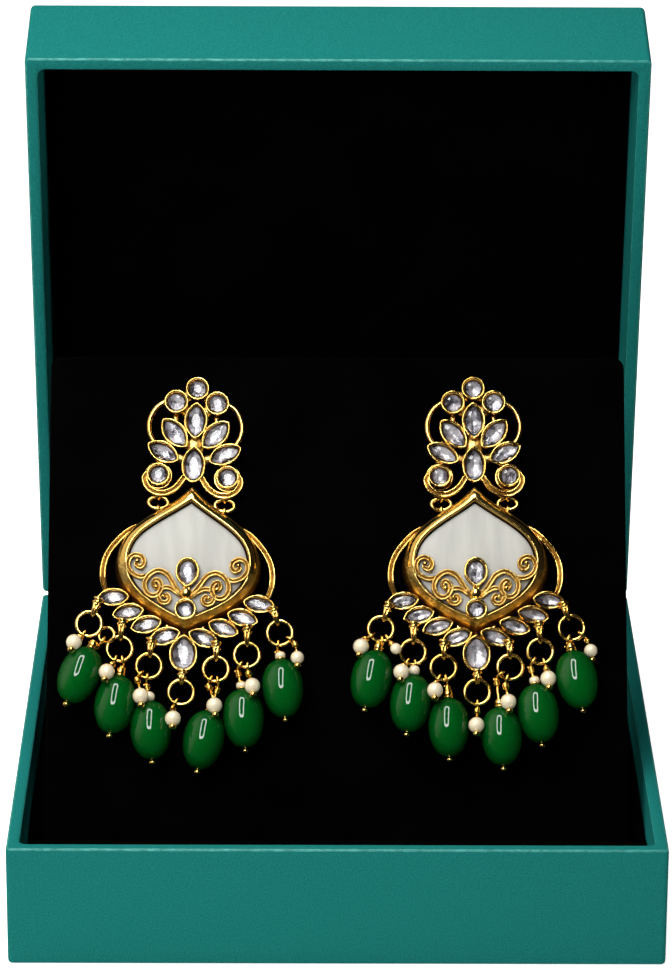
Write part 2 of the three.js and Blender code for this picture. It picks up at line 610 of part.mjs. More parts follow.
// The bed's side view: a block with a sloping slot in its top for the card's lower edge.
function makeBed() {
  const half = BOX_DEPTH / 2 - WALL - FIT;
  const low = WALL + FIT;
  const along = polar(CARD_TILT, 1);
  const across = polar(CARD_TILT - 90, 1);
  const mouth = new THREE.Vector2(CARD_FOOT_Y, bedTop);
  const deep = CARD_SEAT + FIT;
  const front = mouth.clone().addScaledVector(across, -FIT);
  const back = mouth.clone().addScaledVector(across, CARD_THICKNESS + FIT);
  const slotFront = front.clone().addScaledVector(along, (bedTop - front.y) / along.y);
  const slotBack = back.clone().addScaledVector(along, (bedTop - back.y) / along.y);
  const side = new THREE.Shape([
    new THREE.Vector2(-half, low), new THREE.Vector2(half, low), new THREE.Vector2(half, bedTop),
    slotBack, back.clone().addScaledVector(along, -deep), front.clone().addScaledVector(along, -deep),
    slotFront, new THREE.Vector2(-half, bedTop),
  ]);
  const width = BOX_WIDTH - 2 * (WALL + FIT);
  const bed = new THREE.ExtrudeGeometry(side, { depth: width, bevelEnabled: false });
  bed.rotateX(Math.PI / 2).rotateZ(Math.PI / 2);
  return bed.translate(-width / 2, 0, 0);
}

const model = new THREE.Group();
model.add(piece("base_tray", openBox(TRAY_HEIGHT, hingeHeight), TEAL_BOARD));
model.add(piece("velvet_bed", makeBed(), BLACK_VELVET));
const rod = new THREE.CylinderGeometry(HINGE_ROD_RADIUS, HINGE_ROD_RADIUS, HINGE_ROD_LENGTH, 10).rotateZ(Math.PI / 2);
model.add(piece("hinge_rod", rod.translate(0, BOX_DEPTH / 2, hingeHeight), STEEL));

const onCard = new THREE.Group();
onCard.add(piece("display_card", makeCard(), BLACK_VELVET), makeEarring("left"), makeEarring("right"));
onCard.position.set(0, CARD_FOOT_Y, bedTop);
onCard.rotation.x = radians(CARD_TILT);
model.add(onCard);

// The lid is drawn shut, mouth down, about the hinge's axis, and then turned open.
const lid = new THREE.Group();
const shell = openBox(LID_HEIGHT, LID_HEIGHT + RIM_GAP / 2);
const lidShell = piece("lid_shell", shell, TEAL_BOARD);
lidShell.rotation.y = Math.PI;
lidShell.position.set(0, -BOX_DEPTH / 2, LID_HEIGHT + RIM_GAP / 2);
const liningWidth = BOX_WIDTH - 2 * (WALL + FIT);
const liningDepth = BOX_DEPTH - 2 * (WALL + FIT);
const lining = piece("lid_lining", block(liningWidth, liningDepth, LINING_THICKNESS), BLACK_VELVET);
lining.position.set(0, -BOX_DEPTH / 2, LID_HEIGHT + RIM_GAP / 2 - WALL - FIT - LINING_THICKNESS);
lid.add(lidShell, lining);
lid.position.set(0, BOX_DEPTH / 2, hingeHeight);
lid.rotation.x = -radians(LID_OPEN_ANGLE);
model.add(lid);

export default model;
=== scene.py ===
"""A pair of crescent drop earrings on a black card in an open teal presentation box, dressed for the camera.

Every shape is worked out in millimetres as numpy arrays, and put into its mesh in metres in the frame's place.
"""
import math

import bpy
import numpy as np
from bpy.props import FloatProperty, FloatVectorProperty, PointerProperty
from mathutils import Matrix, Vector


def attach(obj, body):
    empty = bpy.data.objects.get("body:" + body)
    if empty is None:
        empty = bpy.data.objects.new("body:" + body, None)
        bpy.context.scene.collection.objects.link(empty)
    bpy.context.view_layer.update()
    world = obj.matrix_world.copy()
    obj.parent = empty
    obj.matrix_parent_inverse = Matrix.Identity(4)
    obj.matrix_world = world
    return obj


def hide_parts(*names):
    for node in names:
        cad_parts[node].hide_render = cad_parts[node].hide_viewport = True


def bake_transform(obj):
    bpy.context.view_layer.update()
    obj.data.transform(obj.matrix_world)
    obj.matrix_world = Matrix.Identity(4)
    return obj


bl_info = {
    "name": "Boxed Crescent Earrings",
    "version": (1, 0, 0),
    "blender": (4, 5, 0),
    "location": "3D View > Sidebar > Earrings",
    "description": "Builds a boxed pair of crescent drop earrings over their solid model",
    "category": "Object",
}

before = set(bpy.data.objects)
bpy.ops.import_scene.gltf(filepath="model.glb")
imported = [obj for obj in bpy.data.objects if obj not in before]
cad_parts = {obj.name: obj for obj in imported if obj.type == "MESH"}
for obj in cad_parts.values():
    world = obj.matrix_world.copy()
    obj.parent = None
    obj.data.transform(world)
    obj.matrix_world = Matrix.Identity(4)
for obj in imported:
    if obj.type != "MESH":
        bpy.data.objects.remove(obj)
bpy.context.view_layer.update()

MM = 0.001
TAU = 2 * math.pi

# The box, in millimetres, as the solids have it
BOX_WIDTH, BOX_DEPTH, BOX_HEIGHT, BOARD = 125.0, 128.0, 24.0, 2.5
BED_DOWN, PAD_THICKNESS = 8.0, 4.0
RIM_GAP, FIT, MOUTH_CORNER = 0.5, 0.3, 1.6
LID_ANGLE = math.radians(78)
HINGE = np.array([0, BOX_DEPTH / 2, BOX_HEIGHT + RIM_GAP / 2])
BED_TOP = BOX_HEIGHT - BED_DOWN
CARD_WIDTH, CARD_RISE, CARD_SEAT, CARD_THICKNESS, CARD_CORNER = 113.0, 95.5, 9.0, 4.0, 2.0
CARD_TILT = math.radians(58)
CARD_FOOT_Y = -42.0

# Shares of the card's width and rise, and a turn in degrees
PLACING = {"left": (-0.2513, 0.7141, -2.6), "right": (0.2372, 0.7162, 0.5)}

# Heights above the card
BACK, COLLAR_TOP, RING_LEVEL, LINK_LEVEL, RIM_TOP = 0.5, 3.0, 2.8, 1.6, 4.3
INLAY_TOP = 3.45
SCROLL_FOOT = 3.75

# Stones of the stud: shape, half length, half width, across, up, turn, whether the other side has one too
STUD_HALF, STUD_RISE = 6.77, 20.15
STUD_STONES = [
    ("round", 2.35, 2.35, 0, 1.005, 0, False),
    ("round", 2.4, 2.4, 0.594, 0.866, 0, True),
    ("leaf", 3.7, 2.35, 0, 0.684, 90, False),
    ("leaf", 3.65, 2.25, 0.594, 0.553, 48, True),
    ("leaf", 3.5, 2.1, 0.898, 0.36, 27, True),
    ("pear", 3.7, 2.4, 0, 0.25, 90, False),
    ("round", 2.3, 2.3, 1, 0.138, 0, True),
]
STUD_TIES = [((0, 1), (0, 0.242)), ((0, 1), (0.594, 0.864)), ((0.594, 0.864), (0.594, 0.551)),
             ((0, 0.242), (0.898, 0.357)), ((0.898, 0.357), (1, 0.134)), ((0, 0.44), (0.594, 0.551))]
SIDE_WIRE = [(0.86, 0.88), (1.17, 0.8), (1.34, 0.67), (1.31, 0.54), (1.12, 0.43)]
FOOT_SCROLL = [
    (0.24, 0.125), (0.46, 0.02), (0.75, -0.04), (1.05, -0.042), (1.29, 0.01), (1.39, 0.095), (1.3, 0.17),
]
TIE_WIDTH = 1.2
POST_UP, POST_RADIUS = 0.6, 0.45

# Webs of metal between the settings: across, up, half width, half height, rise, turn, whether mirrored
STUD_WEBS = [
    (0, 0.445, 2.0, 2.2, 1.4, 0, False),
    (0.3, 0.93, 1.6, 1.2, 1.2, -25, True),
    (0.31, 0.8, 1.5, 1.2, 1.2, 60, True),
    (0.3, 0.48, 1.9, 1.2, 0.9, 30, True),
    (0.74, 0.46, 1.5, 1.0, 1.1, 80, True),
    (0.42, 0.32, 1.7, 1.0, 1.1, 15, True),
    (0.93, 0.245, 1.4, 1.2, 1.2, 70, True),
]

# Medallion, with its curves as shares of its half width and, going down, of its height
MEDALLION_HALF, MEDALLION_HEIGHT = 13.8, 27.3
RIM_SIDE, RIM_POINT, RIM_FOOT = 2.05, 2.5, 1.4
RIM_FLANK = 1.1
OUTLINE_UPPER = [(0, 0), (0.543, 0.198), (1, 0.275), (1, 0.524)]
OUTLINE_LOWER = [(1, 0.524), (1, 0.762), (0.522, 0.886), (0, 1)]
CENTRE_DOWN, TIP_DOWN, HUB_DOWN = 0.615, 0.882, 0.765
UPPER_SCROLL = [
    (0.02, 0.78), (0.11, 0.755), (0.2, 0.69), (0.28, 0.635), (0.41, 0.61), (0.535, 0.645), (0.595, 0.71),
    (0.56, 0.77), (0.48, 0.795), (0.4, 0.78), (0.352, 0.73), (0.385, 0.688), (0.45, 0.678), (0.475, 0.71),
    (0.43, 0.73),
]
OUTER_SCROLL = [
    (0.54, 0.645), (0.665, 0.66), (0.79, 0.63), (0.845, 0.575), (0.81, 0.52), (0.72, 0.503), (0.64, 0.525),
    (0.62, 0.56), (0.665, 0.59), (0.73, 0.575), (0.715, 0.55),
]
LOWER_SCROLL = [
    (0.04, 0.8), (0.14, 0.758), (0.25, 0.73), (0.35, 0.74), (0.397, 0.79), (0.357, 0.832), (0.28, 0.84),
    (0.235, 0.81), (0.275, 0.78), (0.32, 0.795),
]
CRESCENT = [
    (0.74, 0.27), (0.87, 0.315), (1.02, 0.395), (1.14, 0.485), (1.195, 0.58), (1.19, 0.68), (1.14, 0.76),
]

# Stones of the fringe, from its end to its middle: across and down, as shares, and a turn in degrees
FRINGE_HALF, FRINGE_DROP = 14.2, 32.4
FRINGE = [(1, 0.681, -6), (0.785, 0.769, -13), (0.528, 0.838, -17), (0.265, 0.904, -20)]
ROW_STONE, PEAR_STONE = (3.2, 1.85), (3.7, 2.8)

# Rings, eyelets and pins
RING_RADIUS, RING_WIRE, LINK_RADIUS = 2.42, 0.4, 1.68
LINK_ACROSS, LINK_CLEARANCE = 0.96, 0.2
LINK_WIDE, LINK_TALL, LINK_WIRE = 1.9, 1.2, 0.44
LINK_EYE_RADIUS, LINK_EYE_WIRE = 0.75, 0.36
COLLAR_LIP, EYELET_REACH, MIDDLE_RING_REACH = 0.5, 2.6, 0.62
EYELET_WIRE, EYELET_PAST_RING = 0.35, 0.42

# Eyelets, from the fringe's end to its middle: stone, place round its collar, share of the reach, and hang
RING_SEATS = [(0, -12, 1.0, -72), (1, -68, 1.2, -88), (3, -20, 1.0, -88)]

# Pins: the eye, and the coil of thinner wire under it
PIN_LOOP, PIN_WIRE = 1.0, 0.29
COIL_RADIUS, COIL_WIRE, COIL_PITCH = 0.48, 0.26, 0.45
GREEN_HALF, GREEN_RADIUS, GREEN_LEVEL = 5.8, 4.05, 4.4
PEARL_RADIUS, LAST_PEARL = 1.55, 1.3
SMALL_PEARL = 1.1
SMALL_RING, SMALL_RING_WIRE = 1.5, 0.34
PEARL_CAPPED = {("left", 2), ("right", 1)}
CREAM_CAPPED = {("left", 4), ("left", 5), ("right", 4)}

# Drops: ring, loop's place round it, pin's heading, reach to the bead's middle, and a pearl's height
GREEN_DROPS = {
    "left": [(0, -30, -116, 9.6), (1, -72, -99, 8.0), (2, -96, -81, 9.5),
             (4, -78, -102, 11.1), (5, -120, -80, 9.9), (6, -96, -79, 7.8)],
    "right": [(0, -84, -109, 7.1), (1, -78, -101, 7.0), (2, -78, -89, 8.6),
              (4, -144, -86, 11.8), (5, -126, -82, 9.7), (6, -108, -76, 7.4)],
}
PEARL_DROPS = {
    "left": [(0, -114, -137, 1.6, 6.0), (1, -108, -117, 2.2, 6.9), (2, -132, -74, 4.2, 7.0),
             (3, -114, -85, 2.8, 7.7), (4, -114, -71, 4.8, 6.5), (5, -84, -72, 3.4, 6.9),
             (6, -30, -79, 3.5, 5.9)],
    "right": [(0, -144, -123, 2.1, 5.1), (1, -120, -115, 1.6, 6.5), (2, -114, -102, 2.0, 7.3),
              (3, -90, -96, 3.6, 6.9), (4, -108, -84, 4.1, 6.6), (5, -72, -84, 2.5, 5.5),
              (6, -36, -71, 2.6, 2.8)],
}

# The camera as fitted to the photograph: focal length and picture height in pixels, sensor, place, directions
PHOTO_FOCAL, PHOTO_HEIGHT, SENSOR = 4638.4, 968, 36.0
CAMERA_PLACE = (-5.1, -856.3, 396.0)
CAMERA_FORWARD, CAMERA_UP = (0.0053, 0.9358, -0.3525), (-0.003, 0.3525, 0.9358)

# Soft lights: name, place, width and height, and share of the key light's power
SOFTBOXES = [("top", (-150, -90, 620), (460, 500), 0.95), ("front", (-190, -500, 520), (360, 300), 0.75)]
SOFTBOX_TARGET = (0, -20, 60)

# The room that metal reflects: which way its bright side lies, and stops from its dark side to the bright one
BRIGHT_SIDE = (-0.83, 0.25, 0.5)
ROOM_DARK = (0.05, (0.02, 0.019, 0.017, 1))
ROOM_MIDDLE = (0.6, (0.1, 0.093, 0.08, 1))
ROOM_BRIGHT = (0.96, (1, 0.93, 0.8, 1))

# The bright frame overhead: its middle, what it faces, which way it lies so that its picture in a bead stands
# nearly upright, and half width, half length and corner of its outer and inner edge
GLINT_CENTRE, GLINT_TARGET, GLINT_LENGTHWAYS = (-95.0, -215.0, 545.0), (0.0, -10.0, 60.0), (0.12, 0.9, 0.4)
GLINT_EDGES = [(124, 310, 84), (74, 240, 58)]

# The floor's level in metres, just under the tray, and its glow to the metal and to the camera
FLOOR_LEVEL, FLOOR_GLOW = -0.0002, (0.1, 0.9)


# Arrays of points


def polar(degrees, distance=1.0):
    """A point at a distance and an angle in degrees: (d cos a, d sin a)."""
    return distance * np.array([math.cos(math.radians(degrees)), math.sin(math.radians(degrees))])


def flat_to_space(points, level):
    """Points (n, 2) in a plane, lifted to one level: (x, y, level)."""
    points = np.asarray(points, float)
    return np.column_stack([points, np.full(len(points), float(level))])


def smooth_path(points, count, closed=False):
    """Points on the uniform Catmull-Rom curve through the given points, count of them, even in the parameter.

    Between b and c, with a before and d after: (2b + (c-a)t + (2a-5b+4c-d)t^2 + (3b-a-3c+d)t^3) / 2.
    """
    p = np.asarray(points, float)
    if closed:
        p = np.vstack([p[-1], p, p[0], p[1]])
    else:
        p = np.vstack([2 * p[0] - p[1], p, 2 * p[-1] - p[-2]])
    spans = len(p) - 3
    t = np.linspace(0, spans, count, endpoint=not closed)
    i = np.minimum(t.astype(int), spans - 1)
    t = (t - i)[:, None]
    a, b, c, d = p[i], p[i + 1], p[i + 2], p[i + 3]
    return 0.5 * (2 * b + (c - a) * t + (2 * a - 5 * b + 4 * c - d) * t**2 + (3 * b - a - 3 * c + d) * t**3)


def circle_section(radius, sides):
    """A circle about the origin: (r cos a, r sin a)."""
    a = np.arange(sides) * TAU / sides
    return radius * np.column_stack([np.cos(a), np.sin(a)])


def swept(path, section, normal, closed=False, scale=None):
    """A section carried along a path: at + aside * s0 + up * s1.

    Here aside = tangent x normal, and up = aside x tangent.
    """
    path = np.asarray(path, float)
    if closed:
        tangent = np.roll(path, -1, 0) - np.roll(path, 1, 0)
    else:
        tangent = np.gradient(path, axis=0)
    tangent /= np.linalg.norm(tangent, axis=1)[:, None]
    aside = np.cross(tangent, np.broadcast_to(normal, path.shape))
    aside /= np.linalg.norm(aside, axis=1)[:, None]
    up = np.cross(aside, tangent)
    section = np.asarray(section, float)[None] * (1.0 if scale is None else np.asarray(scale)[:, None, None])
    return path[:, None] + aside[:, None] * section[..., 0:1] + up[:, None] * section[..., 1:2]


def stone_outline(shape, half_length, half_width, sides):
    """An oval (a cos t, b sin t), its width times a power of |sin t| where a leaf or a pear narrows to a point.

    A pear's round end is fuller than the oval's: -a |cos t|^0.88 instead of a cos t.
    """
    t = np.arange(sides) * TAU / sides
    along, narrow = np.cos(t), np.ones(sides)
    if shape in ("leaf", "pear"):
        pinched = np.abs(np.sin(t)) ** (0.45 if shape == "leaf" else 0.6)
        narrow = np.where((along > 0) | (shape == "leaf"), pinched, 1.0)
    if shape == "pear":
        along = np.where(along < 0, -np.abs(along) ** 0.88, along)
    return np.column_stack([half_length * along, half_width * np.sin(t) * narrow])


def rounded_outline(width, depth, corner, steps=6):
    """A rectangle with quarter-circle corners, as one closed row of points."""
    a = np.linspace(0, math.pi / 2, steps)
    arcs = []
    for quarter, (sx, sy) in enumerate([(1, 1), (-1, 1), (-1, -1), (1, -1)]):
        turn = a + quarter * math.pi / 2
        centre = np.array([sx * (width / 2 - corner), sy * (depth / 2 - corner)])
        arcs.append(centre + corner * np.column_stack([np.cos(turn), np.sin(turn)]))
    return np.vstack(arcs)


def bezier(points, count):
    """A cubic curve: (1-t)^3 a + 3(1-t)^2 t b + 3(1-t) t^2 c + t^3 d."""
    a, b, c, d = np.asarray(points, float)
    t = np.linspace(0, 1, count)[:, None]
    return (1 - t) ** 3 * a + 3 * (1 - t) ** 2 * t * b + 3 * (1 - t) * t**2 * c + t**3 * d


def onion_outline(half, top, height, steps=20):
    """Two cubic curves down the right side from the point, and their mirror image back up the left."""
    right = np.vstack([bezier(OUTLINE_UPPER, steps)[:-1], bezier(OUTLINE_LOWER, steps)])
    right = right * (half, -height) + (0, top)
    return np.vstack([right, right[1:-1][::-1] * (-1, 1)])


def rim_outline(inset=0.0):
    """The medallion's outline at the inner edge of its rim, less an inset."""
    return onion_outline(MEDALLION_HALF - RIM_SIDE - inset, -RIM_POINT - 1.4 * inset,
                         MEDALLION_HEIGHT - RIM_POINT - RIM_FOOT - 2.6 * inset)


class Form:
    """Closed surfaces in millimetres, gathered for one mesh, each with its finish and its shading."""

    def __init__(self):
        self.points, self.faces, self.finishes, self.smooths, self.count = [], [], [], [], 0

    def grid(self, p, wrap=False, finish=0, smooth=True):
        """Adds points p[i, j], closed round j, and round i too if wrapped, or else with both ends filled.

        Face (i, j) joins p[i, j], p[i, j+1], p[i+1, j+1], p[i+1, j]. A body with a negative volume is turned.
        The finish is one number, or an array of them that spreads over the faces; the ends take its first.
        """
        p = np.asarray(p, float)
        rows, columns = p.shape[:2]
        if not wrap:
            ends = [np.repeat(p[k].mean(0)[None, None], columns, 1) for k in (0, -1)]
            body = np.concatenate([p.reshape(-1, 3), ends[0][0, :1], ends[1][0, :1]])
        else:
            body = p.reshape(-1, 3)
        i = np.arange(rows if wrap else rows - 1)[:, None]
        j = np.arange(columns)[None]
        k, n = (j + 1) % columns, (i + 1) % rows
        here, beyond = i * columns, n * columns
        faces = np.stack(np.broadcast_arrays(here + j, here + k, beyond + k, beyond + j), -1)
        finishes = np.broadcast_to(finish, faces.shape[:2]).ravel()
        faces = faces.reshape(-1, 4)
        if not wrap:
            finishes = np.concatenate([finishes, np.full(2 * columns, finishes[0])])
            low, high = rows * columns, rows * columns + 1
            j, k, last = j[0], k[0], (rows - 1) * columns
            none = np.full(columns, -1)
            faces = np.vstack([
                faces,
                np.column_stack([k, j, np.full(columns, low), none]),
                np.column_stack([last + j, last + k, np.full(columns, high), none]),
            ])
        third = np.where(faces[:, 3] < 0, faces[:, 2], faces[:, 3])
        a, b, c, d = body[faces[:, 0]], body[faces[:, 1]], body[faces[:, 2]], body[third]
        volume = (a * np.cross(b, c)).sum() + (a * np.cross(c, d)).sum()
        if volume < 0:
            quads = faces[:, 3] >= 0
            faces[quads] = faces[quads][:, ::-1]
            faces[~quads, :3] = faces[~quads, :3][:, ::-1]
        self.points.append(body)
        self.faces.append(np.where(faces < 0, -1, faces + self.count))
        self.finishes.append(finishes)
        self.smooths.append(np.full(len(faces), smooth))
        self.count += len(body)

    def rise(self, outlines, finish=0, smooth=True):
        """Adds a body through closed outlines (n, 2), each at its height."""
        self.grid(np.stack([flat_to_space(outline, z) for outline, z in outlines]), False, finish, smooth)

    def ball(self, centre, radius, columns=12, rows=8, finish=0, squash=1.0):
        """Adds a ball: centre + r (sin t cos a, sin t sin a, squash cos t)."""
        t = np.linspace(0.12, math.pi - 0.12, rows)[:, None]
        a = np.arange(columns)[None] * TAU / columns
        p = np.stack(np.broadcast_arrays(np.sin(t) * np.cos(a), np.sin(t) * np.sin(a), squash * np.cos(t)), -1)
        self.grid(np.asarray(centre) + radius * p, False, finish)

    def pad(self, centre, half_width, half_height, rise, degrees):
        """Adds a low oval dome: outlines (w cos a, h sin a) that shrink by cos t while they climb by sin t."""
        a = np.arange(20) * TAU / 20
        oval = np.column_stack([half_width * np.cos(a), half_height * np.sin(a)])
        steps = [(1.0, 0.0)] + [(math.cos(t), 0.3 + 0.7 * math.sin(t)) for t in np.linspace(0, 1.5, 8)]
        self.rise([(turned(oval * share, *centre, degrees), BACK + 0.1 + up * rise) for share, up in steps], 4)

    def hoop(self, centre, radius, wire, first, second, columns, sides):
        """Adds a closed ring: centre + R (cos a first + sin a second), with a round wire."""
        a = (np.arange(columns) * TAU / columns)[:, None]
        first, second = np.asarray(first, float), np.asarray(second, float)
        path = np.asarray(centre) + radius * (np.cos(a) * first + np.sin(a) * second)
        self.grid(swept(path, circle_section(wire, sides), np.cross(first, second), True), True)

    def wire(self, points, radius, normal, count, sides=8):
        """Adds a round wire along a smooth path."""
        self.grid(swept(smooth_path(points, count), circle_section(radius, sides), normal))


def place(form, side):
    """Turns an earring's points about the card's normal and lays them on the tilted card."""
    across, up, turn = PLACING[side]
    c, s = math.cos(math.radians(turn)), math.sin(math.radians(turn))
    spots = []
    for p in form.points:
        x = c * p[:, 0] - s * p[:, 1] + across * CARD_WIDTH
        y = s * p[:, 0] + c * p[:, 1] + up * CARD_RISE
        spots.append(np.column_stack([x, y, p[:, 2]]))
    form.points = [on_card(p) for p in spots]
    return form


def on_card(p):
    """From card (across, up, out) to the frame: up the card's slope from its foot, and out along its normal."""
    c, s = math.cos(CARD_TILT), math.sin(CARD_TILT)
    across, up, out = p.T
    return np.column_stack([across, CARD_FOOT_Y + up * c - out * s, BED_TOP + up * s + out * c])


def on_lid(p):
    """From lid (across, up from the hinge, back from the rim) to the frame, with the lid open at its angle."""
    c, s = math.cos(LID_ANGLE), math.sin(LID_ANGLE)
    u, v = p[:, 1], p[:, 2]
    return np.column_stack([p[:, 0], -u * c + v * s, u * s + v * c]) + HINGE


def make_piece(name, form, finishes, body, replaced=()):
    """Puts a form into a mesh object in metres, gives it its finishes and sets it riding on its body."""
    points = np.vstack(form.points) * MM
    faces = np.vstack(form.faces)
    finish_of, smooth = np.concatenate(form.finishes), np.concatenate(form.smooths)
    mesh = bpy.data.meshes.new(name)
    used = faces >= 0
    totals = used.sum(1)
    mesh.vertices.add(len(points))
    mesh.vertices.foreach_set("co", points.ravel())
    mesh.loops.add(int(totals.sum()))
    mesh.loops.foreach_set("vertex_index", faces[used])
    mesh.polygons.add(len(faces))
    mesh.polygons.foreach_set("loop_start", np.concatenate([[0], np.cumsum(totals)[:-1]]))
    mesh.polygons.foreach_set("material_index", finish_of)
    mesh.polygons.foreach_set("use_smooth", smooth)
    mesh.update(calc_edges=True)
    mesh.validate()
    for finish in finishes:
        mesh.materials.append(finish)
    piece = bpy.data.objects.new(name, mesh)
    bpy.context.scene.collection.objects.link(piece)
    if body:
        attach(piece, body)
    if replaced:
        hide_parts(*replaced)
    return piece


def make_earring_piece(side, name, form, finishes):
    """Makes one piece of an earring, laid on the card, in place of the solid of the same name."""
    return make_piece(f"{side}_{name}_fine", place(form, side), finishes, "base", [f"{side}_{name}"])


# Finishes


def new_finish(name):
    """A material with one Principled shader. Returns the material, its nodes, its links and the shader."""
    material = bpy.data.materials.new(name)
    material.use_nodes = True
    nodes, links = material.node_tree.nodes, material.node_tree.links
    return material, nodes, links, nodes["Principled BSDF"]


def dresses(name):
    """Marks a function that sets up a material's nodes, so that the material is made only once."""
    def marked(dress):
        def finish():
            if name not in bpy.data.materials:
                dress(*new_finish(name)[1:])
            return bpy.data.materials[name]
        return finish
    return marked


def set_shader(shader, **values):
    """Sets the shader's inputs, each named as the socket is, in small letters and with underscores."""
    for key, value in values.items():
        shader.inputs[key.replace("_", " ").title().replace("Ior", "IOR")].default_value = value


def surface_noise_group():
    """A shader node group: fine noise on object coordinates, as a height, and a slow noise as a mask."""
    if "Surface Unevenness" in bpy.data.node_groups:
        return bpy.data.node_groups["Surface Unevenness"]
    group = bpy.data.node_groups.new("Surface Unevenness", "ShaderNodeTree")
    for name, default in (("Fine Scale", 900.0), ("Slow Scale", 90.0), ("Fine Detail", 3.0)):
        group.interface.new_socket(name, in_out="INPUT", socket_type="NodeSocketFloat").default_value = default
    for name in ("Height", "Mask"):
        group.interface.new_socket(name, in_out="OUTPUT", socket_type="NodeSocketFloat")
    nodes, links = group.nodes, group.links
    inside, outside = nodes.new("NodeGroupInput"), nodes.new("NodeGroupOutput")
    where = nodes.new("ShaderNodeTexCoord")
    for scale, out, detail in (("Fine Scale", "Height", 3.0), ("Slow Scale", "Mask", 2.0)):
        noise = nodes.new("ShaderNodeTexNoise")
        noise.inputs["Detail"].default_value = detail
        if out == "Height":
            links.new(inside.outputs["Fine Detail"], noise.inputs["Detail"])
        links.new(where.outputs["Object"], noise.inputs["Vector"])
        links.new(inside.outputs[scale], noise.inputs["Scale"])
        links.new(noise.outputs["Fac"], outside.inputs[out])
    return group


def add_unevenness(nodes, links, shader, fine, slow, strength, distance, detail=3.0):
    """Bumps a material with the shared group, and returns the group's node for its mask."""
    group = nodes.new("ShaderNodeGroup")
    group.node_tree = surface_noise_group()
    group.inputs["Fine Scale"].default_value = fine
    group.inputs["Slow Scale"].default_value = slow
    group.inputs["Fine Detail"].default_value = detail
    bump = nodes.new("ShaderNodeBump")
    bump.inputs["Strength"].default_value = strength
    bump.inputs["Distance"].default_value = distance
    links.new(group.outputs["Height"], bump.inputs["Height"])
    links.new(bump.outputs["Normal"], shader.inputs["Normal"])
    return group


def two_tone(nodes, links, factor, first, second, target, low=0.35, high=0.65):
    """Mixes two colours by a mask and feeds the result to a colour socket."""
    ramp = nodes.new("ShaderNodeValToRGB")
    stops = ramp.color_ramp.elements
    stops[0].position, stops[1].position = low, high
    stops[0].color, stops[1].color = (*first, 1), (*second, 1)
    links.new(factor, ramp.inputs["Fac"])
    links.new(ramp.outputs["Color"], target)


@dresses("Gold Plate")
def gold_finish(nodes, links, shader):
    """Polished yellow gold plate, slightly uneven as cast and polished by hand."""
    set_shader(shader, metallic=1.0, roughness=0.14)
    group = add_unevenness(nodes, links, shader, 620.0, 160.0, 0.14, 0.0004, 2.0)
    gold = tuple(bpy.context.scene.boxed_earrings.gold_colour)
    deep = tuple(c * k for c, k in zip(gold, (0.85, 0.75, 0.6)))
    two_tone(nodes, links, group.outputs["Mask"], deep, gold, shader.inputs["Base Color"])


@dresses("Gold With Painted Shade")
def painted_shade_gold_finish(nodes, links, shader):
    """Gold painted dark brown in the grooves and down the sides: painted shade."""
    set_shader(shader, metallic=1.0, roughness=0.38)
    group = add_unevenness(nodes, links, shader, 900.0, 300.0, 0.3, 0.0003, 2.0)
    gold = tuple(bpy.context.scene.boxed_earrings.gold_colour)
    shade, deep = (tuple(c * k for c, k in zip(gold, by)) for by in ((0.38, 0.28, 0.18), (0.2, 0.14, 0.1)))
    two_tone(nodes, links, group.outputs["Mask"], deep, shade, shader.inputs["Base Color"])


@dresses("Brushed Gold")
def brushed_finish(nodes, links, shader):
    """Gold plate with a fine hammered face, on the medallion's flank, the scrollwork and the webs."""
    set_shader(shader, metallic=1.0, roughness=0.32)
    group = add_unevenness(nodes, links, shader, 1500.0, 900.0, 0.3, 0.0005, 3.0)
    gold = tuple(bpy.context.scene.boxed_earrings.gold_colour)
    deep = tuple(c * k for c, k in zip(gold, (0.66, 0.58, 0.46)))
    two_tone(nodes, links, group.outputs["Mask"], deep, gold, shader.inputs["Base Color"])


def metalwork_finishes():
    """The finishes of set metalwork, in the order that its faces number them."""
    return [gold_finish(), crystal_finish(), foil_finish(), painted_shade_gold_finish(), brushed_finish()]


@dresses("Clear Stone")
def crystal_finish(nodes, links, shader):
    """Clear colourless stone."""
    set_shader(shader, base_color=(1, 1, 1, 1), roughness=0.02, transmission_weight=1.0, ior=1.5)


@dresses("Stone Foil")
def foil_finish(nodes, links, shader):
    """Silver foil behind a stone, crumpled a little so that it breaks up the light."""
    set_shader(shader, metallic=1.0, roughness=0.5)
    group = add_unevenness(nodes, links, shader, 800.0, 560.0, 0.6, 0.0006, 1.0)
    two_tone(nodes, links, group.outputs["Mask"], (0.13, 0.125, 0.15), (0.68, 0.66, 0.7),
             shader.inputs["Base Color"], 0.38, 0.56)


@dresses("Green Stone")
def green_finish(nodes, links, shader):
    """Deep green polished stone: greener and glossier where it faces the eye, darker and duller at its edge,
    the darker green being painted shade.

    Coat weight = 1 - 0.8 (f - 0.18) / 0.24, kept from 0.2 to 1, where f is how far the surface turns away.
    """
    green = tuple(bpy.context.scene.boxed_earrings.green_colour)
    set_shader(shader, roughness=0.4, specular_ior_level=0.0, coat_weight=1.0, coat_ior=1.5,
               coat_roughness=0.03, subsurface_weight=0.1, subsurface_scale=0.002)
    shader.inputs["Subsurface Radius"].default_value = (0.1, 1.0, 0.25)
    facing = nodes.new("ShaderNodeLayerWeight")
    facing.inputs["Blend"].default_value = 0.4
    # The green darkens towards the bead's edge as painted shade.
    two_tone(nodes, links, facing.outputs["Facing"], green, tuple(0.22 * c for c in green),
             shader.inputs["Base Color"], 0.05, 0.8)
    polish = nodes.new("ShaderNodeMapRange")
    for name, value in (("From Min", 0.18), ("From Max", 0.42), ("To Min", 1.0), ("To Max", 0.2)):
        polish.inputs[name].default_value = value
    links.new(facing.outputs["Facing"], polish.inputs["Value"])
    links.new(polish.outputs["Result"], shader.inputs["Coat Weight"])


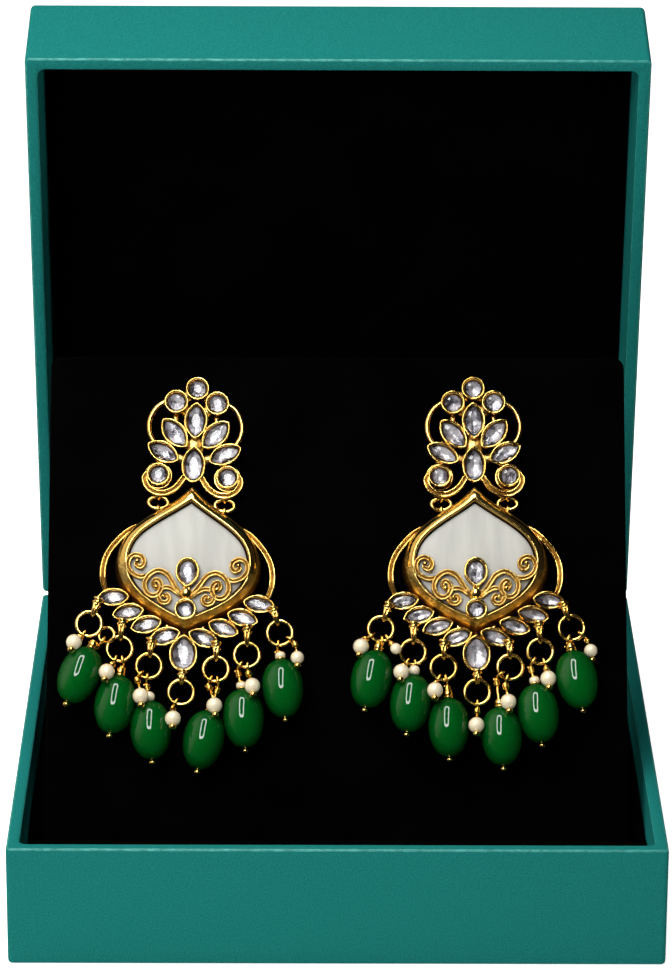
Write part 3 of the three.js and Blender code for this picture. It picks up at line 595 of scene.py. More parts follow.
@dresses("Cream Pearl")
def pearl_finish(nodes, links, shader):
    """Cream pearl, darker and yellower at its edge: painted shade."""
    set_shader(shader, roughness=0.3, coat_weight=1.0, coat_roughness=0.16, sheen_weight=0.15)
    facing = nodes.new("ShaderNodeLayerWeight")
    facing.inputs["Blend"].default_value = 0.35
    pearl = tuple(bpy.context.scene.boxed_earrings.pearl_colour)
    # The pearl's edge colour is painted shade.
    edge = tuple(c * k for c, k in zip(pearl, (0.7, 0.55, 0.32)))
    two_tone(nodes, links, facing.outputs["Facing"], pearl, edge, shader.inputs["Base Color"], 0.25, 0.95)


@dresses("Mother Of Pearl")
def inlay_finish(nodes, links, shader):
    """White mother-of-pearl with faint slanting streaks."""
    set_shader(shader, roughness=0.35, specular_ior_level=0.2)
    where, turn, wave = (nodes.new("ShaderNode" + kind) for kind in ("TexCoord", "Mapping", "TexNoise"))
    turn.inputs["Rotation"].default_value = (0.0, math.radians(38), math.radians(10))
    turn.inputs["Scale"].default_value = (380.0, 60.0, 70.0)
    wave.inputs["Scale"].default_value = 1.0
    wave.inputs["Detail"].default_value = 3.0
    links.new(where.outputs["Object"], turn.inputs["Vector"])
    links.new(turn.outputs["Vector"], wave.inputs["Vector"])
    white = tuple(bpy.context.scene.boxed_earrings.inlay_colour)
    streak = tuple(0.84 * c for c in white)
    two_tone(nodes, links, wave.outputs["Fac"], streak, white, shader.inputs["Base Color"])


@dresses("Teal Leatherette")
def board_finish(nodes, links, shader):
    """Teal leatherette stretched over board, with a fine pebbled grain."""
    set_shader(shader, roughness=0.6, specular_ior_level=0.0)
    group = add_unevenness(nodes, links, shader, 3000.0, 70.0, 0.4, 0.0003)
    teal = tuple(bpy.context.scene.boxed_earrings.board_colour)
    bluer = tuple(c * k for c, k in zip(teal, (0.9, 0.93, 1.03)))
    pit, crest = tuple(0.85 * c for c in bluer), tuple(1.1 * c for c in teal)
    two_tone(nodes, links, group.outputs["Height"], pit, crest, shader.inputs["Base Color"])


@dresses("Leatherette With Painted Highlight")
def painted_highlight_fold_finish(nodes, links, shader):
    """The leatherette over an edge of the board, painted paler: a painted highlight along the fold."""
    set_shader(shader, roughness=0.4, specular_ior_level=0.3)
    group = add_unevenness(nodes, links, shader, 2300.0, 500.0, 0.4, 0.0003)
    teal = tuple(bpy.context.scene.boxed_earrings.board_colour)
    pale = tuple(c * 1.5 + 0.03 for c in teal)
    two_tone(nodes, links, group.outputs["Mask"], teal, pale, shader.inputs["Base Color"])


@dresses("Black Velvet")
def velvet_finish(nodes, links, shader):
    """Black velvet: almost no light back, and a little sheen at a grazing look."""
    set_shader(shader, roughness=1.0, specular_ior_level=0.0, sheen_weight=0.004, sheen_roughness=0.5)
    group = add_unevenness(nodes, links, shader, 2500.0, 50.0, 0.3, 0.0002)
    two_tone(nodes, links, group.outputs["Mask"], (0.0006, 0.0005, 0.0005), (0.0012, 0.001, 0.001),
             shader.inputs["Base Color"])


@dresses("Plain Steel")
def steel_finish(nodes, links, shader):
    """Plain steel of the hidden nuts."""
    set_shader(shader, base_color=(0.6, 0.6, 0.62, 1), metallic=1.0, roughness=0.3)


# Metalwork


def turned(outline, x, y, degrees):
    """An outline turned about its middle and moved to (x, y)."""
    c, s = math.cos(math.radians(degrees)), math.sin(math.radians(degrees))
    return outline @ np.array([[c, s], [-s, c]]) + (x, y)


def add_set_stone(form, shape, size, x, y, degrees, foot, top, seat=0.76, depth=1.45):
    """A collar with a rounded lip and a sloping seat, a faceted clear stone, and foil in a cone under it."""
    half_length, half_width = size

    def at(inset, sides=40, share=1.0):
        outline = stone_outline(shape, (half_length - inset) * share, (half_width - inset) * share, sides)
        return turned(outline, x, y, degrees)

    deep = top - depth
    # The collar's foot and its seat round the stone take the gold with painted shade (finish 3).
    form.rise([
        (at(0.1), foot), (at(0.0), foot + 0.12), (at(-0.03), top - 0.75), (at(-0.01), top - 0.3),
        (at(0.07), top - 0.08), (at(0.2), top), (at(0.36), top - 0.06), (at(0.52), top - 0.3),
        (at(seat - 0.05), top - 0.8), (at(seat), deep - 0.1),
    ], np.array([3, 3, 0, 0, 0, 0, 0, 3, 3])[:, None])
    facets = 12
    form.rise([
        (at(seat + 0.02, facets, 0.04), deep + 0.18), (at(seat + 0.02, facets), top - 0.86),
        (at(seat + 0.02, facets), top - 0.72), (at(seat + 0.02, facets, 0.8), top - 0.4),
        (at(seat + 0.02, facets, 0.5), top - 0.24),
    ], 1, False)
    form.rise([
        (at(seat + 0.05, facets), deep - 0.05), (at(seat + 0.05, facets), top - 0.92),
        (at(seat + 0.05, facets, 0.55), deep + 0.3 * depth - 0.14),
        (at(seat + 0.05, facets, 0.03), deep + 0.08),
    ], 2, False)


def grooved_section(width, height):
    """A band's section: upright sides, and two rounded ridges with a groove between them."""
    x = np.array([-0.5, -0.5, -0.43, -0.29, -0.12, 0.0, 0.12, 0.29, 0.43, 0.5, 0.5]) * width
    z = np.array([0.0, 0.7, 0.92, 1.0, 0.84, 0.55, 0.84, 1.0, 0.92, 0.7, 0.0]) * height
    return np.column_stack([x, z])


def add_band(form, points, foot, width, height, count, taper=None, ridge=0):
    """A grooved band along a smooth level path, with its ridges in the given finish."""
    path = smooth_path(flat_to_space(points, foot), count)
    scale = None if taper is None else np.interp(np.linspace(0, 1, count), *taper)
    # The band's sides and its groove take the gold with painted shade (finish 3).
    shaded = np.array([3, *[ridge] * 3, 3, 3, *[ridge] * 3, 3, 3])
    form.grid(swept(path, grooved_section(width, height) * (-1, 1), (0, 0, 1), scale=scale), False, shaded)


def add_tie(form, start, end):
    """A short bar between two settings, behind them."""
    path = flat_to_space([start, end], BACK + 0.1)
    section = np.array([
        (-0.5, 0), (-0.5, 0.3), (-0.38, 0.56), (-0.15, 0.72), (0.15, 0.72), (0.38, 0.56), (0.5, 0.3), (0.5, 0),
    ]) * TIE_WIDTH
    form.grid(swept(path, section, (0, 0, 1)))


def link_centre(side):
    """The middle of the link on one side, 1 or -1, under the stud's lowest scrolls."""
    lowest = min(up for _, up in FOOT_SCROLL)
    return np.array([side * LINK_ACROSS * STUD_HALF, lowest * STUD_RISE - LINK_RADIUS - LINK_CLEARANCE])


def add_link_eye(form, side, where):
    """An eye round the link's upper edge (where 1) or its lower edge (where -1)."""
    x, y = link_centre(side)
    centre = (x, y + where * (LINK_TALL + 0.15), LINK_LEVEL)
    form.hoop(centre, LINK_EYE_RADIUS, LINK_EYE_WIRE, (0, 1, 0), (0, 0, 1), 24, 8)


def ring_seat(number):
    """A ring's eyelet root, the hang's angle, the eyelet's reach and the ring's centre."""
    middle = len(RING_SEATS)
    if number == middle:
        root = np.array([0, -FRINGE_DROP - PEAR_STONE[0] + COLLAR_LIP])
        hang, reach = -90.0, MIDDLE_RING_REACH * EYELET_REACH + COLLAR_LIP
    else:
        side = -1 if number < middle else 1
        stone, seat, share, hang = RING_SEATS[number if number < middle else 2 * middle - number]
        across, down, _ = FRINGE[stone]
        root = polar(seat) * (np.array(ROW_STONE) - COLLAR_LIP) * (side, 1)
        root = root + (side * across * FRINGE_HALF, -down * FRINGE_DROP)
        hang = hang if side > 0 else 180 - hang
        reach = share * EYELET_REACH + COLLAR_LIP
    return root, hang, reach, root + polar(hang, reach + RING_RADIUS)


def add_eyelet(form, root, hang, reach):
    """Two turns of wire side by side, from the collar down round the ring, and a twist where they meet it."""
    out, across = np.append(polar(hang), 0), np.append(polar(hang + 90), 0)
    base = np.append(root, RING_LEVEL)
    end = reach + RING_WIRE + EYELET_PAST_RING
    a = np.linspace(0, TAU, 22, endpoint=False)[:, None]
    for shift, lean in ((-0.28, 0.13), (0.28, -0.1)):
        along = out + lean * across
        middle = base + out * (0.45 + end) / 2 + across * shift
        path = middle + along * (end - 0.45) / 2 * np.cos(a) + np.array([0, 0, 0.95]) * np.sin(a)
        form.grid(swept(path, circle_section(EYELET_WIRE, 8), across, True), True)
    for step, lean, radius in ((0.4, 0.15, 0.95), (0.95, -0.25, 0.9), (1.5, 0.3, 0.8)):
        form.hoop(base + out * step, radius, 0.34, across + lean * out, (0, 0, 1.2), 18, 8)


def add_pin(form, ring, loop, heading, reach, level, half_length, small_ring=0.0, upright=0.0):
    """A head pin's eye, the turns of wire under it, and its neck. Returns the bead's top and its axis.

    A drop may hang from a small ring of its own, in the large ring, and its pin may bend towards upright.
    """
    centre = ring_seat(ring)[3]
    on_ring = centre + polar(loop, RING_RADIUS)
    out = np.append(polar(loop), 0)
    middle = np.append(on_ring, RING_LEVEL)
    start = middle + out * PIN_LOOP
    target = np.append(start[:2] + polar(heading, reach), level)
    if small_ring:
        ring_middle = middle + out * (small_ring + 0.1)
        form.hoop(ring_middle, small_ring, SMALL_RING_WIRE, (1, 0, 0.25), (0, 1, 0), 32, 8)
        out = (target - ring_middle) * (1, 1, 0)
        out /= np.linalg.norm(out)
        middle = ring_middle + out * small_ring
        start = middle + out * PIN_LOOP
    form.hoop(middle, PIN_LOOP, PIN_WIRE, out, (0, 0, 1), 22, 8)
    line = (target - start) / np.linalg.norm(target - start) + (0, -upright, 0)
    line /= np.linalg.norm(line)
    top = target - line * half_length
    room = np.linalg.norm(top - start)
    neck = (top - start) / room
    side = np.cross(neck, (0.3, 0.2, 1.0))
    side /= np.linalg.norm(side)
    other = np.cross(neck, side)
    form.wire(np.stack([start - neck * 0.1, (start + top) / 2, top + line * 0.4]), PIN_WIRE, side, 4)
    turns = min(3.0, max(1.2, (room - 0.9) / COIL_PITCH))
    a = np.linspace(0, turns * TAU, int(turns * 12))[:, None]
    round_neck = COIL_RADIUS * (np.cos(a) * side + np.sin(a) * other)
    coil = start + neck * (0.25 + a / TAU * COIL_PITCH) + round_neck
    form.grid(swept(coil, circle_section(COIL_WIRE, 6), neck))
    side = np.cross(line, side)
    side /= np.linalg.norm(side)
    return top, line, side, np.cross(line, side)


def add_turned(form, top, line, side, other, profile, columns, finish=0):
    """A profile of (distance d down the pin, radius r) turned: top + d line + r (cos a side + sin a other)."""
    profile = np.asarray(profile, float)
    a = np.arange(columns)[None, :, None] * TAU / columns
    d, r = profile[:, 0][:, None, None], profile[:, 1][:, None, None]
    form.grid(top + d * line + r * (np.cos(a) * side + np.sin(a) * other), False, finish)


def make_stud(side):
    """The upper cluster: set stones, ties and webs between them, side wires, foot scrolls and ear post."""
    form = Form()
    for shape, length, width, across, up, turn, mirrored in STUD_STONES:
        for way in (1, -1) if mirrored else (1,):
            x, y = way * across * STUD_HALF, up * STUD_RISE
            heading = turn if way > 0 else 180 - turn
            add_set_stone(form, shape, (length, width), x, y, heading, BACK, COLLAR_TOP)

    def at(table):
        return [(way * x * STUD_HALF, y * STUD_RISE) for x, y in table]

    for way in (1, -1):
        for tie in STUD_TIES:
            add_tie(form, *at(tie))
        form.wire(flat_to_space(at(SIDE_WIRE), 2.0), 0.52, (0, 0, 1), 26, 12)
        add_band(form, at(FOOT_SCROLL), 1.7, 1.35, 1.2, 40, ([0, 0.85, 1], [1, 1, 0.6]))
        add_link_eye(form, way, 1)
        form.hoop((way * STUD_HALF, 0.134 * STUD_RISE, 1.25), 2.5, 0.33, (1, 0, 0), (0, 1, 0), 40, 8)
    for across, up, half_width, half_height, rise, turn, mirrored in STUD_WEBS:
        for way in (1, -1) if mirrored else (1,):
            form.pad((way * across * STUD_HALF, up * STUD_RISE), half_width, half_height, rise, way * turn)
    post_y = POST_UP * STUD_RISE
    form.wire([(0, post_y, 1.2), (0, post_y, -4), (0, post_y, -9)], POST_RADIUS, (1, 0, 0), 4, 12)
    return make_earring_piece(side, "stud", form, metalwork_finishes())


def make_medallion(side):
    """The domed rim, the scrollwork over its inlay, the crescents, the fringe of stones and the eyelets."""
    form = Form()
    outer, inner = onion_outline(MEDALLION_HALF, 0, MEDALLION_HEIGHT), rim_outline()
    outer[:, 1] += np.where(outer[:, 1] > -4, 0.75 * np.exp(-((outer[:, 0] / 1.9) ** 2)), 0)
    way_out = (outer - inner) / np.linalg.norm(outer - inner, axis=1)[:, None]
    low = np.clip(-outer[:, 1] / MEDALLION_HEIGHT - 0.42, 0, 0.3)[:, None] / 0.3
    flank = RIM_FLANK * low * way_out

    def across_rim(share, flare=0.0):
        return outer + (inner - outer) * share + flare * flank

    span = RIM_TOP - BACK
    rim = ((0.06, 0.0, 0.95), (0.0, 0.03, 1.0), (0.0, 0.16, 1.0), (0.01, 0.34, 0.86), (0.05, 0.5, 0.58),
           (0.13, 0.63, 0.3), (0.25, 0.75, 0.1), (0.4, 0.85, 0.0), (0.56, 0.93, 0.0), (0.7, 0.98, 0.0),
           (0.82, 1.0, 0.0), (0.9, 0.985, 0.0), (0.96, 0.93, 0.0), (1.0, 0.84, 0.0), (1.0, 0.2, 0.0))
    # The rim's outer wall and inner edge, and more of its flank on the lower half, take the gold with painted
    # shade (finish 3).
    strips = np.where(low[:, 0] > 0.5, np.array([3, 3, 3, 3, 3, 4, 4, 4, 4, 4, 0, 0, 3, 3])[:, None],
                      np.array([3, 3, 3, 3, 4, 4, 0, 0, 0, 0, 0, 0, 3, 3])[:, None])
    form.rise([(across_rim(share, flare), BACK + h * span) for share, h, flare in rim], strips)
    centre, tip = -CENTRE_DOWN * MEDALLION_HEIGHT, -TIP_DOWN * MEDALLION_HEIGHT
    hub = -HUB_DOWN * MEDALLION_HEIGHT
    face_top = SCROLL_FOOT + 1.35
    add_set_stone(form, "pear", (3.0, 2.35), 0, centre, -90, SCROLL_FOOT, face_top, 0.78, 1.2)
    add_set_stone(form, "round", (2.15, 2.15), 0, tip, 0, SCROLL_FOOT, face_top, 0.78, 1.2)
    add_band(form, [(0, centre - 2.6), (0, hub), (0, tip + 1.8)], SCROLL_FOOT, 1.5, 1.0, 6)
    form.ball((0, hub, SCROLL_FOOT + 0.45), 1.15, 18, 12, 0, 0.8)
    ends = ([0, 0.06, 0.8, 1], [0.6, 1.0, 1.0, 0.7])

    def face(table):
        return [(way * x * MEDALLION_HALF, -y * MEDALLION_HEIGHT) for x, y in table]

    for way in (1, -1):
        add_band(form, face(UPPER_SCROLL), SCROLL_FOOT, 1.1, 1.0, 90, ends, 4)
        add_band(form, face(OUTER_SCROLL), SCROLL_FOOT - 0.02, 1.05, 0.95, 64, ends, 4)
        add_band(form, face(LOWER_SCROLL), SCROLL_FOOT - 0.01, 1.0, 0.9, 60, ends, 4)
        for table, radius in ((UPPER_SCROLL, 0.55), (OUTER_SCROLL, 0.5), (LOWER_SCROLL, 0.48)):
            form.ball((*face(table)[-1], SCROLL_FOOT + 0.6), radius, 12, 8)
        add_band(form, face(CRESCENT), BACK + 0.5, 1.35, 1.4, 34, ([0, 0.25, 0.8, 1], [0.6, 1, 1, 0.8]))
        row = [(way * across * FRINGE_HALF, -down * FRINGE_DROP) for across, down, _ in FRINGE]
        for (x, y), (_, _, turn) in zip(row, FRINGE):
            add_set_stone(form, "leaf", ROW_STONE, x, y, way * turn, BACK, COLLAR_TOP, 0.72)
        for start, end in zip(row, row[1:] + [(0, -FRINGE_DROP)]):
            add_tie(form, start, end)
        for x, y in row[1:]:
            add_tie(form, (x, y), (x * 0.85, y * 0.85))
        add_link_eye(form, way, -1)
    add_set_stone(form, "pear", PEAR_STONE, 0, -FRINGE_DROP, 90, BACK, COLLAR_TOP)
    add_tie(form, (0, -FRINGE_DROP), (0, -MEDALLION_HEIGHT))
    for number in range(2 * len(RING_SEATS) + 1):
        add_eyelet(form, *ring_seat(number)[:3])
    return make_earring_piece(side, "medallion", form, metalwork_finishes())


def make_inlay(side):
    """A thin sheet that fills the rim, with a softened edge and a face that swells a tenth of a millimetre."""
    form = Form()
    low = BACK + 1.1
    rows = [(0.5, low), (0.3, low + 0.1), (0.3, INLAY_TOP - 0.25), (0.42, INLAY_TOP - 0.06), (0.7, INLAY_TOP)]
    outlines = [(rim_outline(inset), z) for inset, z in rows]
    middle = np.array([0, -0.5 * MEDALLION_HEIGHT])
    outlines += [(middle + (rim_outline(0.7) - middle) * share, INLAY_TOP + 0.1 * (1 - share**2))
                 for share in (0.8, 0.5, 0.2)]
    form.rise(outlines)
    return make_earring_piece(side, "pearl_inlay", form, [inlay_finish()])


def make_ring(side, number):
    """A jump ring, lying level over the card."""
    form = Form()
    x, y = ring_seat(number)[3]
    form.hoop((x, y, RING_LEVEL), RING_RADIUS, RING_WIRE, (1, 0, 0), (0, 1, 0), 48, 12)
    return make_earring_piece(side, f"ring_{number + 1}", form, [gold_finish()])


def make_link(side, name, way):
    """A wide oval link: (x + w cos a, y + h sin a), with a round wire."""
    form = Form()
    a = np.linspace(0, TAU, 44, endpoint=False)
    oval = link_centre(way) + np.column_stack([LINK_WIDE * np.cos(a), LINK_TALL * np.sin(a)])
    path = flat_to_space(oval, LINK_LEVEL)
    form.grid(swept(path, circle_section(LINK_WIRE, 10), (0, 0, 1), True), True)
    return make_earring_piece(side, f"link_{name}", form, [gold_finish()])


def add_ball_on_pin(form, axis, first, radius, soft_end, rows, columns, finish):
    """A ball on a pin, its top at a distance down it: (first + r (1 - cos t), r sin t), turned."""
    t = np.linspace(soft_end, math.pi - soft_end, rows)
    profile = np.column_stack([first + radius * (1 - np.cos(t)), radius * np.sin(t)])
    add_turned(form, *axis, profile, columns, finish)


def make_green_drop(side, number, row):
    """An oval bead, r = R sin(t)^0.86 and fuller above, between a barrel or small pearl and the pin's head."""
    form = Form()
    small_ring = SMALL_RING if (side, number) == ("left", 0) else 0
    axis = add_pin(form, *row, GREEN_LEVEL, GREEN_HALF, small_ring, 0.5)
    t = np.linspace(0.06, math.pi - 0.06, 32)
    d = GREEN_HALF * (1 - np.cos(t))
    r = GREEN_RADIUS * np.sin(t) ** 0.86 * (1 + 0.045 * np.cos(t))
    add_turned(form, *axis, np.column_stack([d, r]), 44, 1)
    if (side, number) in PEARL_CAPPED:
        add_ball_on_pin(form, axis, 0.25 - 2 * SMALL_PEARL, SMALL_PEARL, 0.15, 12, 20, 2)
    else:
        middle = 2 if (side, number) in CREAM_CAPPED else 0
        edge = 0.12
        for low, high, radius, finish in (
            (-1.65, -1.3, 0.85, 0), (-1.32, -0.28, 1.0, middle), (-0.3, 0.1, 1.1, 0),
        ):
            barrel = [(low, radius - 0.3), (low + 0.03, radius - edge), (low + edge, radius),
                      (high - edge, radius), (high - 0.03, radius - edge), (high, radius - 0.3)]
            add_turned(form, *axis, barrel, 20, finish)
    if (side, number) == ("right", 0):
        spare = add_pin(form, 0, -56, -58, 1.7, 5.4, SMALL_PEARL)
        add_ball_on_pin(form, spare, 0.0, SMALL_PEARL, 0.15, 12, 20, 2)
    end = 2 * GREEN_HALF
    head = [(end - 0.12, 0.4), (end + 0.02, 0.36), (end + 0.12, 0.28), (end + 0.3, 0.56), (end + 0.65, 0.72),
            (end + 1.02, 0.56), (end + 1.22, 0.22)]
    add_turned(form, *axis, head, 16)
    finishes = [gold_finish(), green_finish(), pearl_finish()]
    return make_earring_piece(side, f"green_drop_{number + 1}", form, finishes)


def make_pearl_drop(side, number, row):
    """A round pearl on a pin, with a gold disc over it and the pin's head under it."""
    form = Form()
    radius = LAST_PEARL if number == 6 else PEARL_RADIUS
    axis = add_pin(form, *row, radius, 0.0, 1.0)
    add_ball_on_pin(form, axis, 0.0, radius, 0.12, 18, 28, 1)
    end = 2 * radius
    head = [(end - 0.08, 0.35), (end + 0.05, 0.32), (end + 0.2, 0.62), (end + 0.55, 0.8), (end + 0.95, 0.62),
            (end + 1.18, 0.25)]
    add_turned(form, *axis, head, 16)
    return make_earring_piece(side, f"pearl_drop_{number + 1}", form, [gold_finish(), pearl_finish()])


# Box


def board_box():
    """A board tray with softened edges, mouth up, as outlines that go up outside and down inside.

    Returns the outlines and the finish of each strip between them: a painted highlight, paler, on the folds
    round the mouth.
    """
    height, wall = BOX_HEIGHT, BOARD

    def at(inset):
        corner = max(1.0 - inset, 0.3) if inset < wall / 2 else MOUTH_CORNER
        return rounded_outline(BOX_WIDTH - 2 * inset, BOX_DEPTH - 2 * inset, corner)

    outlines = [
        (at(1.0), 0.0), (at(0.3), 0.08), (at(0.08), 0.3), (at(0.0), 0.9), (at(0.0), height - 0.6),
        (at(0.03), height - 0.4), (at(0.14), height - 0.14), (at(0.4), height), (at(wall - 0.4), height),
        (at(wall - 0.14), height - 0.1), (at(wall - 0.03), height - 0.3), (at(wall), height - 0.6),
        (at(wall), wall + 0.4), (at(wall + 0.4), wall),
    ]
    # Finish 1, on the folds round the mouth, is a painted highlight.
    return outlines, np.array([0, 0, 0, 0, 0, 1, 1, 0, 0, 1, 0, 0, 0])[:, None]


def puffed_pad(width, depth, low, high, edge=1.6, swell=0.35):
    """A velvet pad: rounded edges, and a face that swells a little towards its middle."""
    soft = high - swell

    def at(inset):
        return rounded_outline(width - 2 * inset, depth - 2 * inset, max(1.5 - inset, 0.5) + 0.2)

    return [(at(0.5), low), (at(0.0), low + 0.4), (at(0.0), soft - edge), (at(0.25 * edge), soft - 0.4 * edge),
            (at(0.6 * edge), soft - 0.12 * edge), (at(edge), soft), (at(8.0), soft + 0.6 * swell),
            (at(25.0), high)]


def make_tray():
    """The board tray, floor down."""
    form = Form()
    form.rise(*board_box())
    return make_piece("tray", form, [board_finish(), painted_highlight_fold_finish()], "base", ["base_tray"])


def make_lid():
    """The same board box, upside down and open at the lid's angle."""
    form = Form()
    form.rise(*board_box())
    across, up, out = form.points[0].T
    form.points[0] = on_lid(np.column_stack([across, up + BOX_DEPTH / 2, BOX_HEIGHT + RIM_GAP / 2 - out]))
    return make_piece("lid", form, [board_finish(), painted_highlight_fold_finish()], "lid", ["lid_shell"])


def make_lid_pad():
    """The black pad that fills the lid."""
    form = Form()
    width, depth = BOX_WIDTH - 2 * (BOARD + FIT), BOX_DEPTH - 2 * (BOARD + FIT)
    form.rise(puffed_pad(width, depth, 0, PAD_THICKNESS))
    across, up, out = form.points[0].T
    depth_in = BOX_HEIGHT + RIM_GAP / 2 - BOARD - FIT
    form.points[0] = on_lid(np.column_stack([across, up + BOX_DEPTH / 2, depth_in - out]))
    piece = make_piece("lid_pad", form, [velvet_finish()], "lid", ["lid_lining"])
    return piece


def make_spine():
    """A strip of leatherette glued down the tray's rear wall and along the lid's wall: a bent ribbon."""
    slope = np.array([0, math.sin(LID_ANGLE), math.cos(LID_ANGLE)])
    drop = np.array([0, 0.35, 0.0])
    path = np.vstack([
        HINGE + drop + (0, 0, -13), HINGE + drop + (0, 0, -6), HINGE + drop + (0, 0, -1.4),
        HINGE + (0, 0.5, -0.75), HINGE + slope * 1.6 + (0, 0, -0.4), HINGE + slope * 7 + (0, 0, -0.35),
        HINGE + slope * 13 + (0, 0, -0.35)])
    path = smooth_path(path, 36)
    half = 0.5 * BOX_WIDTH - 1.5
    section = np.array([(-0.22, -half), (0.22, -half), (0.22, half), (-0.22, half)])
    form = Form()
    form.grid(swept(path, section, (1, 0, 0)), False, 0, False)
    piece = make_piece("hinge_spine", form, [board_finish()], None)
    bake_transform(piece)
    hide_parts("hinge_rod")
    return piece


def make_bed():
    """The black block in the tray: its softened top runs up to the card in front of it and behind it."""
    form = Form()
    half_width, half_depth = BOX_WIDTH / 2 - BOARD - FIT, BOX_DEPTH / 2 - BOARD - FIT
    low, edge = BOARD + FIT, 0.8
    c, s = math.cos(CARD_TILT), math.sin(CARD_TILT)
    front = CARD_FOOT_Y - FIT / s
    back = CARD_FOOT_Y + (CARD_THICKNESS + FIT) / s
    deep = CARD_SEAT + FIT
    side = np.array([
        (-half_depth, low), (half_depth, low), (half_depth, BED_TOP - edge),
        (half_depth - 0.3 * edge, BED_TOP - 0.3 * edge), (half_depth - edge, BED_TOP),
        (back + edge, BED_TOP), (back + 0.1, BED_TOP - 0.3), (back - deep * c, BED_TOP - deep * s),
        (front - deep * c, BED_TOP - deep * s), (front - 0.1, BED_TOP - 0.3), (front - edge, BED_TOP),
        (edge - half_depth, BED_TOP), (0.3 * edge - half_depth, BED_TOP - 0.3 * edge),
        (-half_depth, BED_TOP - edge),
    ])
    x = np.array([-half_width, -half_width + 0.3, half_width - 0.3, half_width])
    p = np.stack([np.column_stack([np.full(len(side), at), side]) for at in x])
    form.grid(p, False, 0, False)
    piece = make_piece("velvet_block", form, [velvet_finish()], "base", ["velvet_bed"])
    return piece


def make_card():
    """The tilted card: velvet over board, with softened edges."""
    form = Form()
    height = CARD_RISE + CARD_SEAT

    def at(inset):
        corner = max(CARD_CORNER - inset, 0.5)
        outline = rounded_outline(CARD_WIDTH - 2 * inset, height - 2 * inset, corner)
        return outline + (0, height / 2 - CARD_SEAT)

    low = -CARD_THICKNESS
    form.rise([(at(0.7), low), (at(0.2), low + 0.15), (at(0.0), low + 0.7), (at(0.0), -0.8), (at(0.2), -0.22),
               (at(0.8), 0.0)])
    form.points[0] = on_card(form.points[0])
    return make_piece("velvet_card", form, [velvet_finish()], "base", ["display_card"])


def make_nut(side):
    """The nut on the ear post behind the card, as a profile of (radius, height) turned about the post."""
    form = Form()
    y = POST_UP * STUD_RISE
    top = -CARD_THICKNESS - FIT
    rows = [(0.5, top), (2.3, top), (2.6, top - 0.3), (2.6, top - 0.9), (1.5, top - 1.5), (1.4, top - 2.3),
            (1.1, top - 2.6), (0.55, top - 2.6), (0.5, top - 2.5)]
    a = np.arange(24)[None] * TAU / 24
    r, z = (np.array(column)[:, None] for column in zip(*rows))
    form.grid(np.stack(np.broadcast_arrays(r * np.cos(a), y + r * np.sin(a), z + 0 * a), -1))
    return make_earring_piece(side, "ear_nut", form, [steel_finish()])


# Stage


def add_softbox(name, centre, width, height, power):
    """A rectangular area light turned to the earrings and hidden from polished surfaces, in millimetres."""
    light = bpy.data.lights.new(name, "AREA")
    light.shape, light.size, light.size_y = "RECTANGLE", width * MM, height * MM
    light.energy = power
    lamp = bpy.data.objects.new(name, light)
    turn = (Vector(SOFTBOX_TARGET) - Vector(centre)).to_track_quat("-Z", "Y")
    lamp.matrix_world = Matrix.Translation(Vector(centre) * MM) @ turn.to_matrix().to_4x4()
    lamp.visible_glossy = False
    bpy.context.scene.collection.objects.link(lamp)


def make_camera():
    """The camera at the photograph's place, looking a third down."""
    camera = bpy.data.cameras.new("camera")
    camera.sensor_width, camera.sensor_fit = SENSOR, "AUTO"
    camera.lens = SENSOR * PHOTO_FOCAL / PHOTO_HEIGHT
    camera.clip_start, camera.clip_end = 0.05, 20.0
    looker = bpy.data.objects.new("camera", camera)
    back = -Vector(CAMERA_FORWARD).normalized()
    right = Vector(CAMERA_UP).cross(back).normalized()
    turn = Matrix((right, back.cross(right), back)).transposed().to_4x4()
    looker.matrix_world = Matrix.Translation(Vector(CAMERA_PLACE) * MM) @ turn
    bpy.context.scene.collection.objects.link(looker)
    bpy.context.scene.camera = looker


def make_floor(half):
    """A pale floor that glows more to the camera than to the metal, and that polished surfaces do not see."""
    material, nodes, links, shader = new_finish("Pale Floor")
    set_shader(shader, base_color=(0.93, 0.93, 0.93, 1), roughness=0.9, specular_ior_level=0.0,
               emission_color=(1, 1, 1, 1))
    path, glow = nodes.new("ShaderNodeLightPath"), nodes.new("ShaderNodeMapRange")
    glow.inputs["To Min"].default_value, glow.inputs["To Max"].default_value = FLOOR_GLOW
    links.new(path.outputs["Is Camera Ray"], glow.inputs["Value"])
    links.new(glow.outputs["Result"], shader.inputs["Emission Strength"])
    mesh = bpy.data.meshes.new("floor")
    corners = [(x * half, y * half, FLOOR_LEVEL) for x, y in ((-1, -1), (1, -1), (1, 1), (-1, 1))]
    mesh.from_pydata(corners, [], [(0, 1, 2, 3)])
    mesh.materials.append(material)
    floor = bpy.data.objects.new("floor", mesh)
    bpy.context.scene.collection.objects.link(floor)
    floor.visible_glossy = False


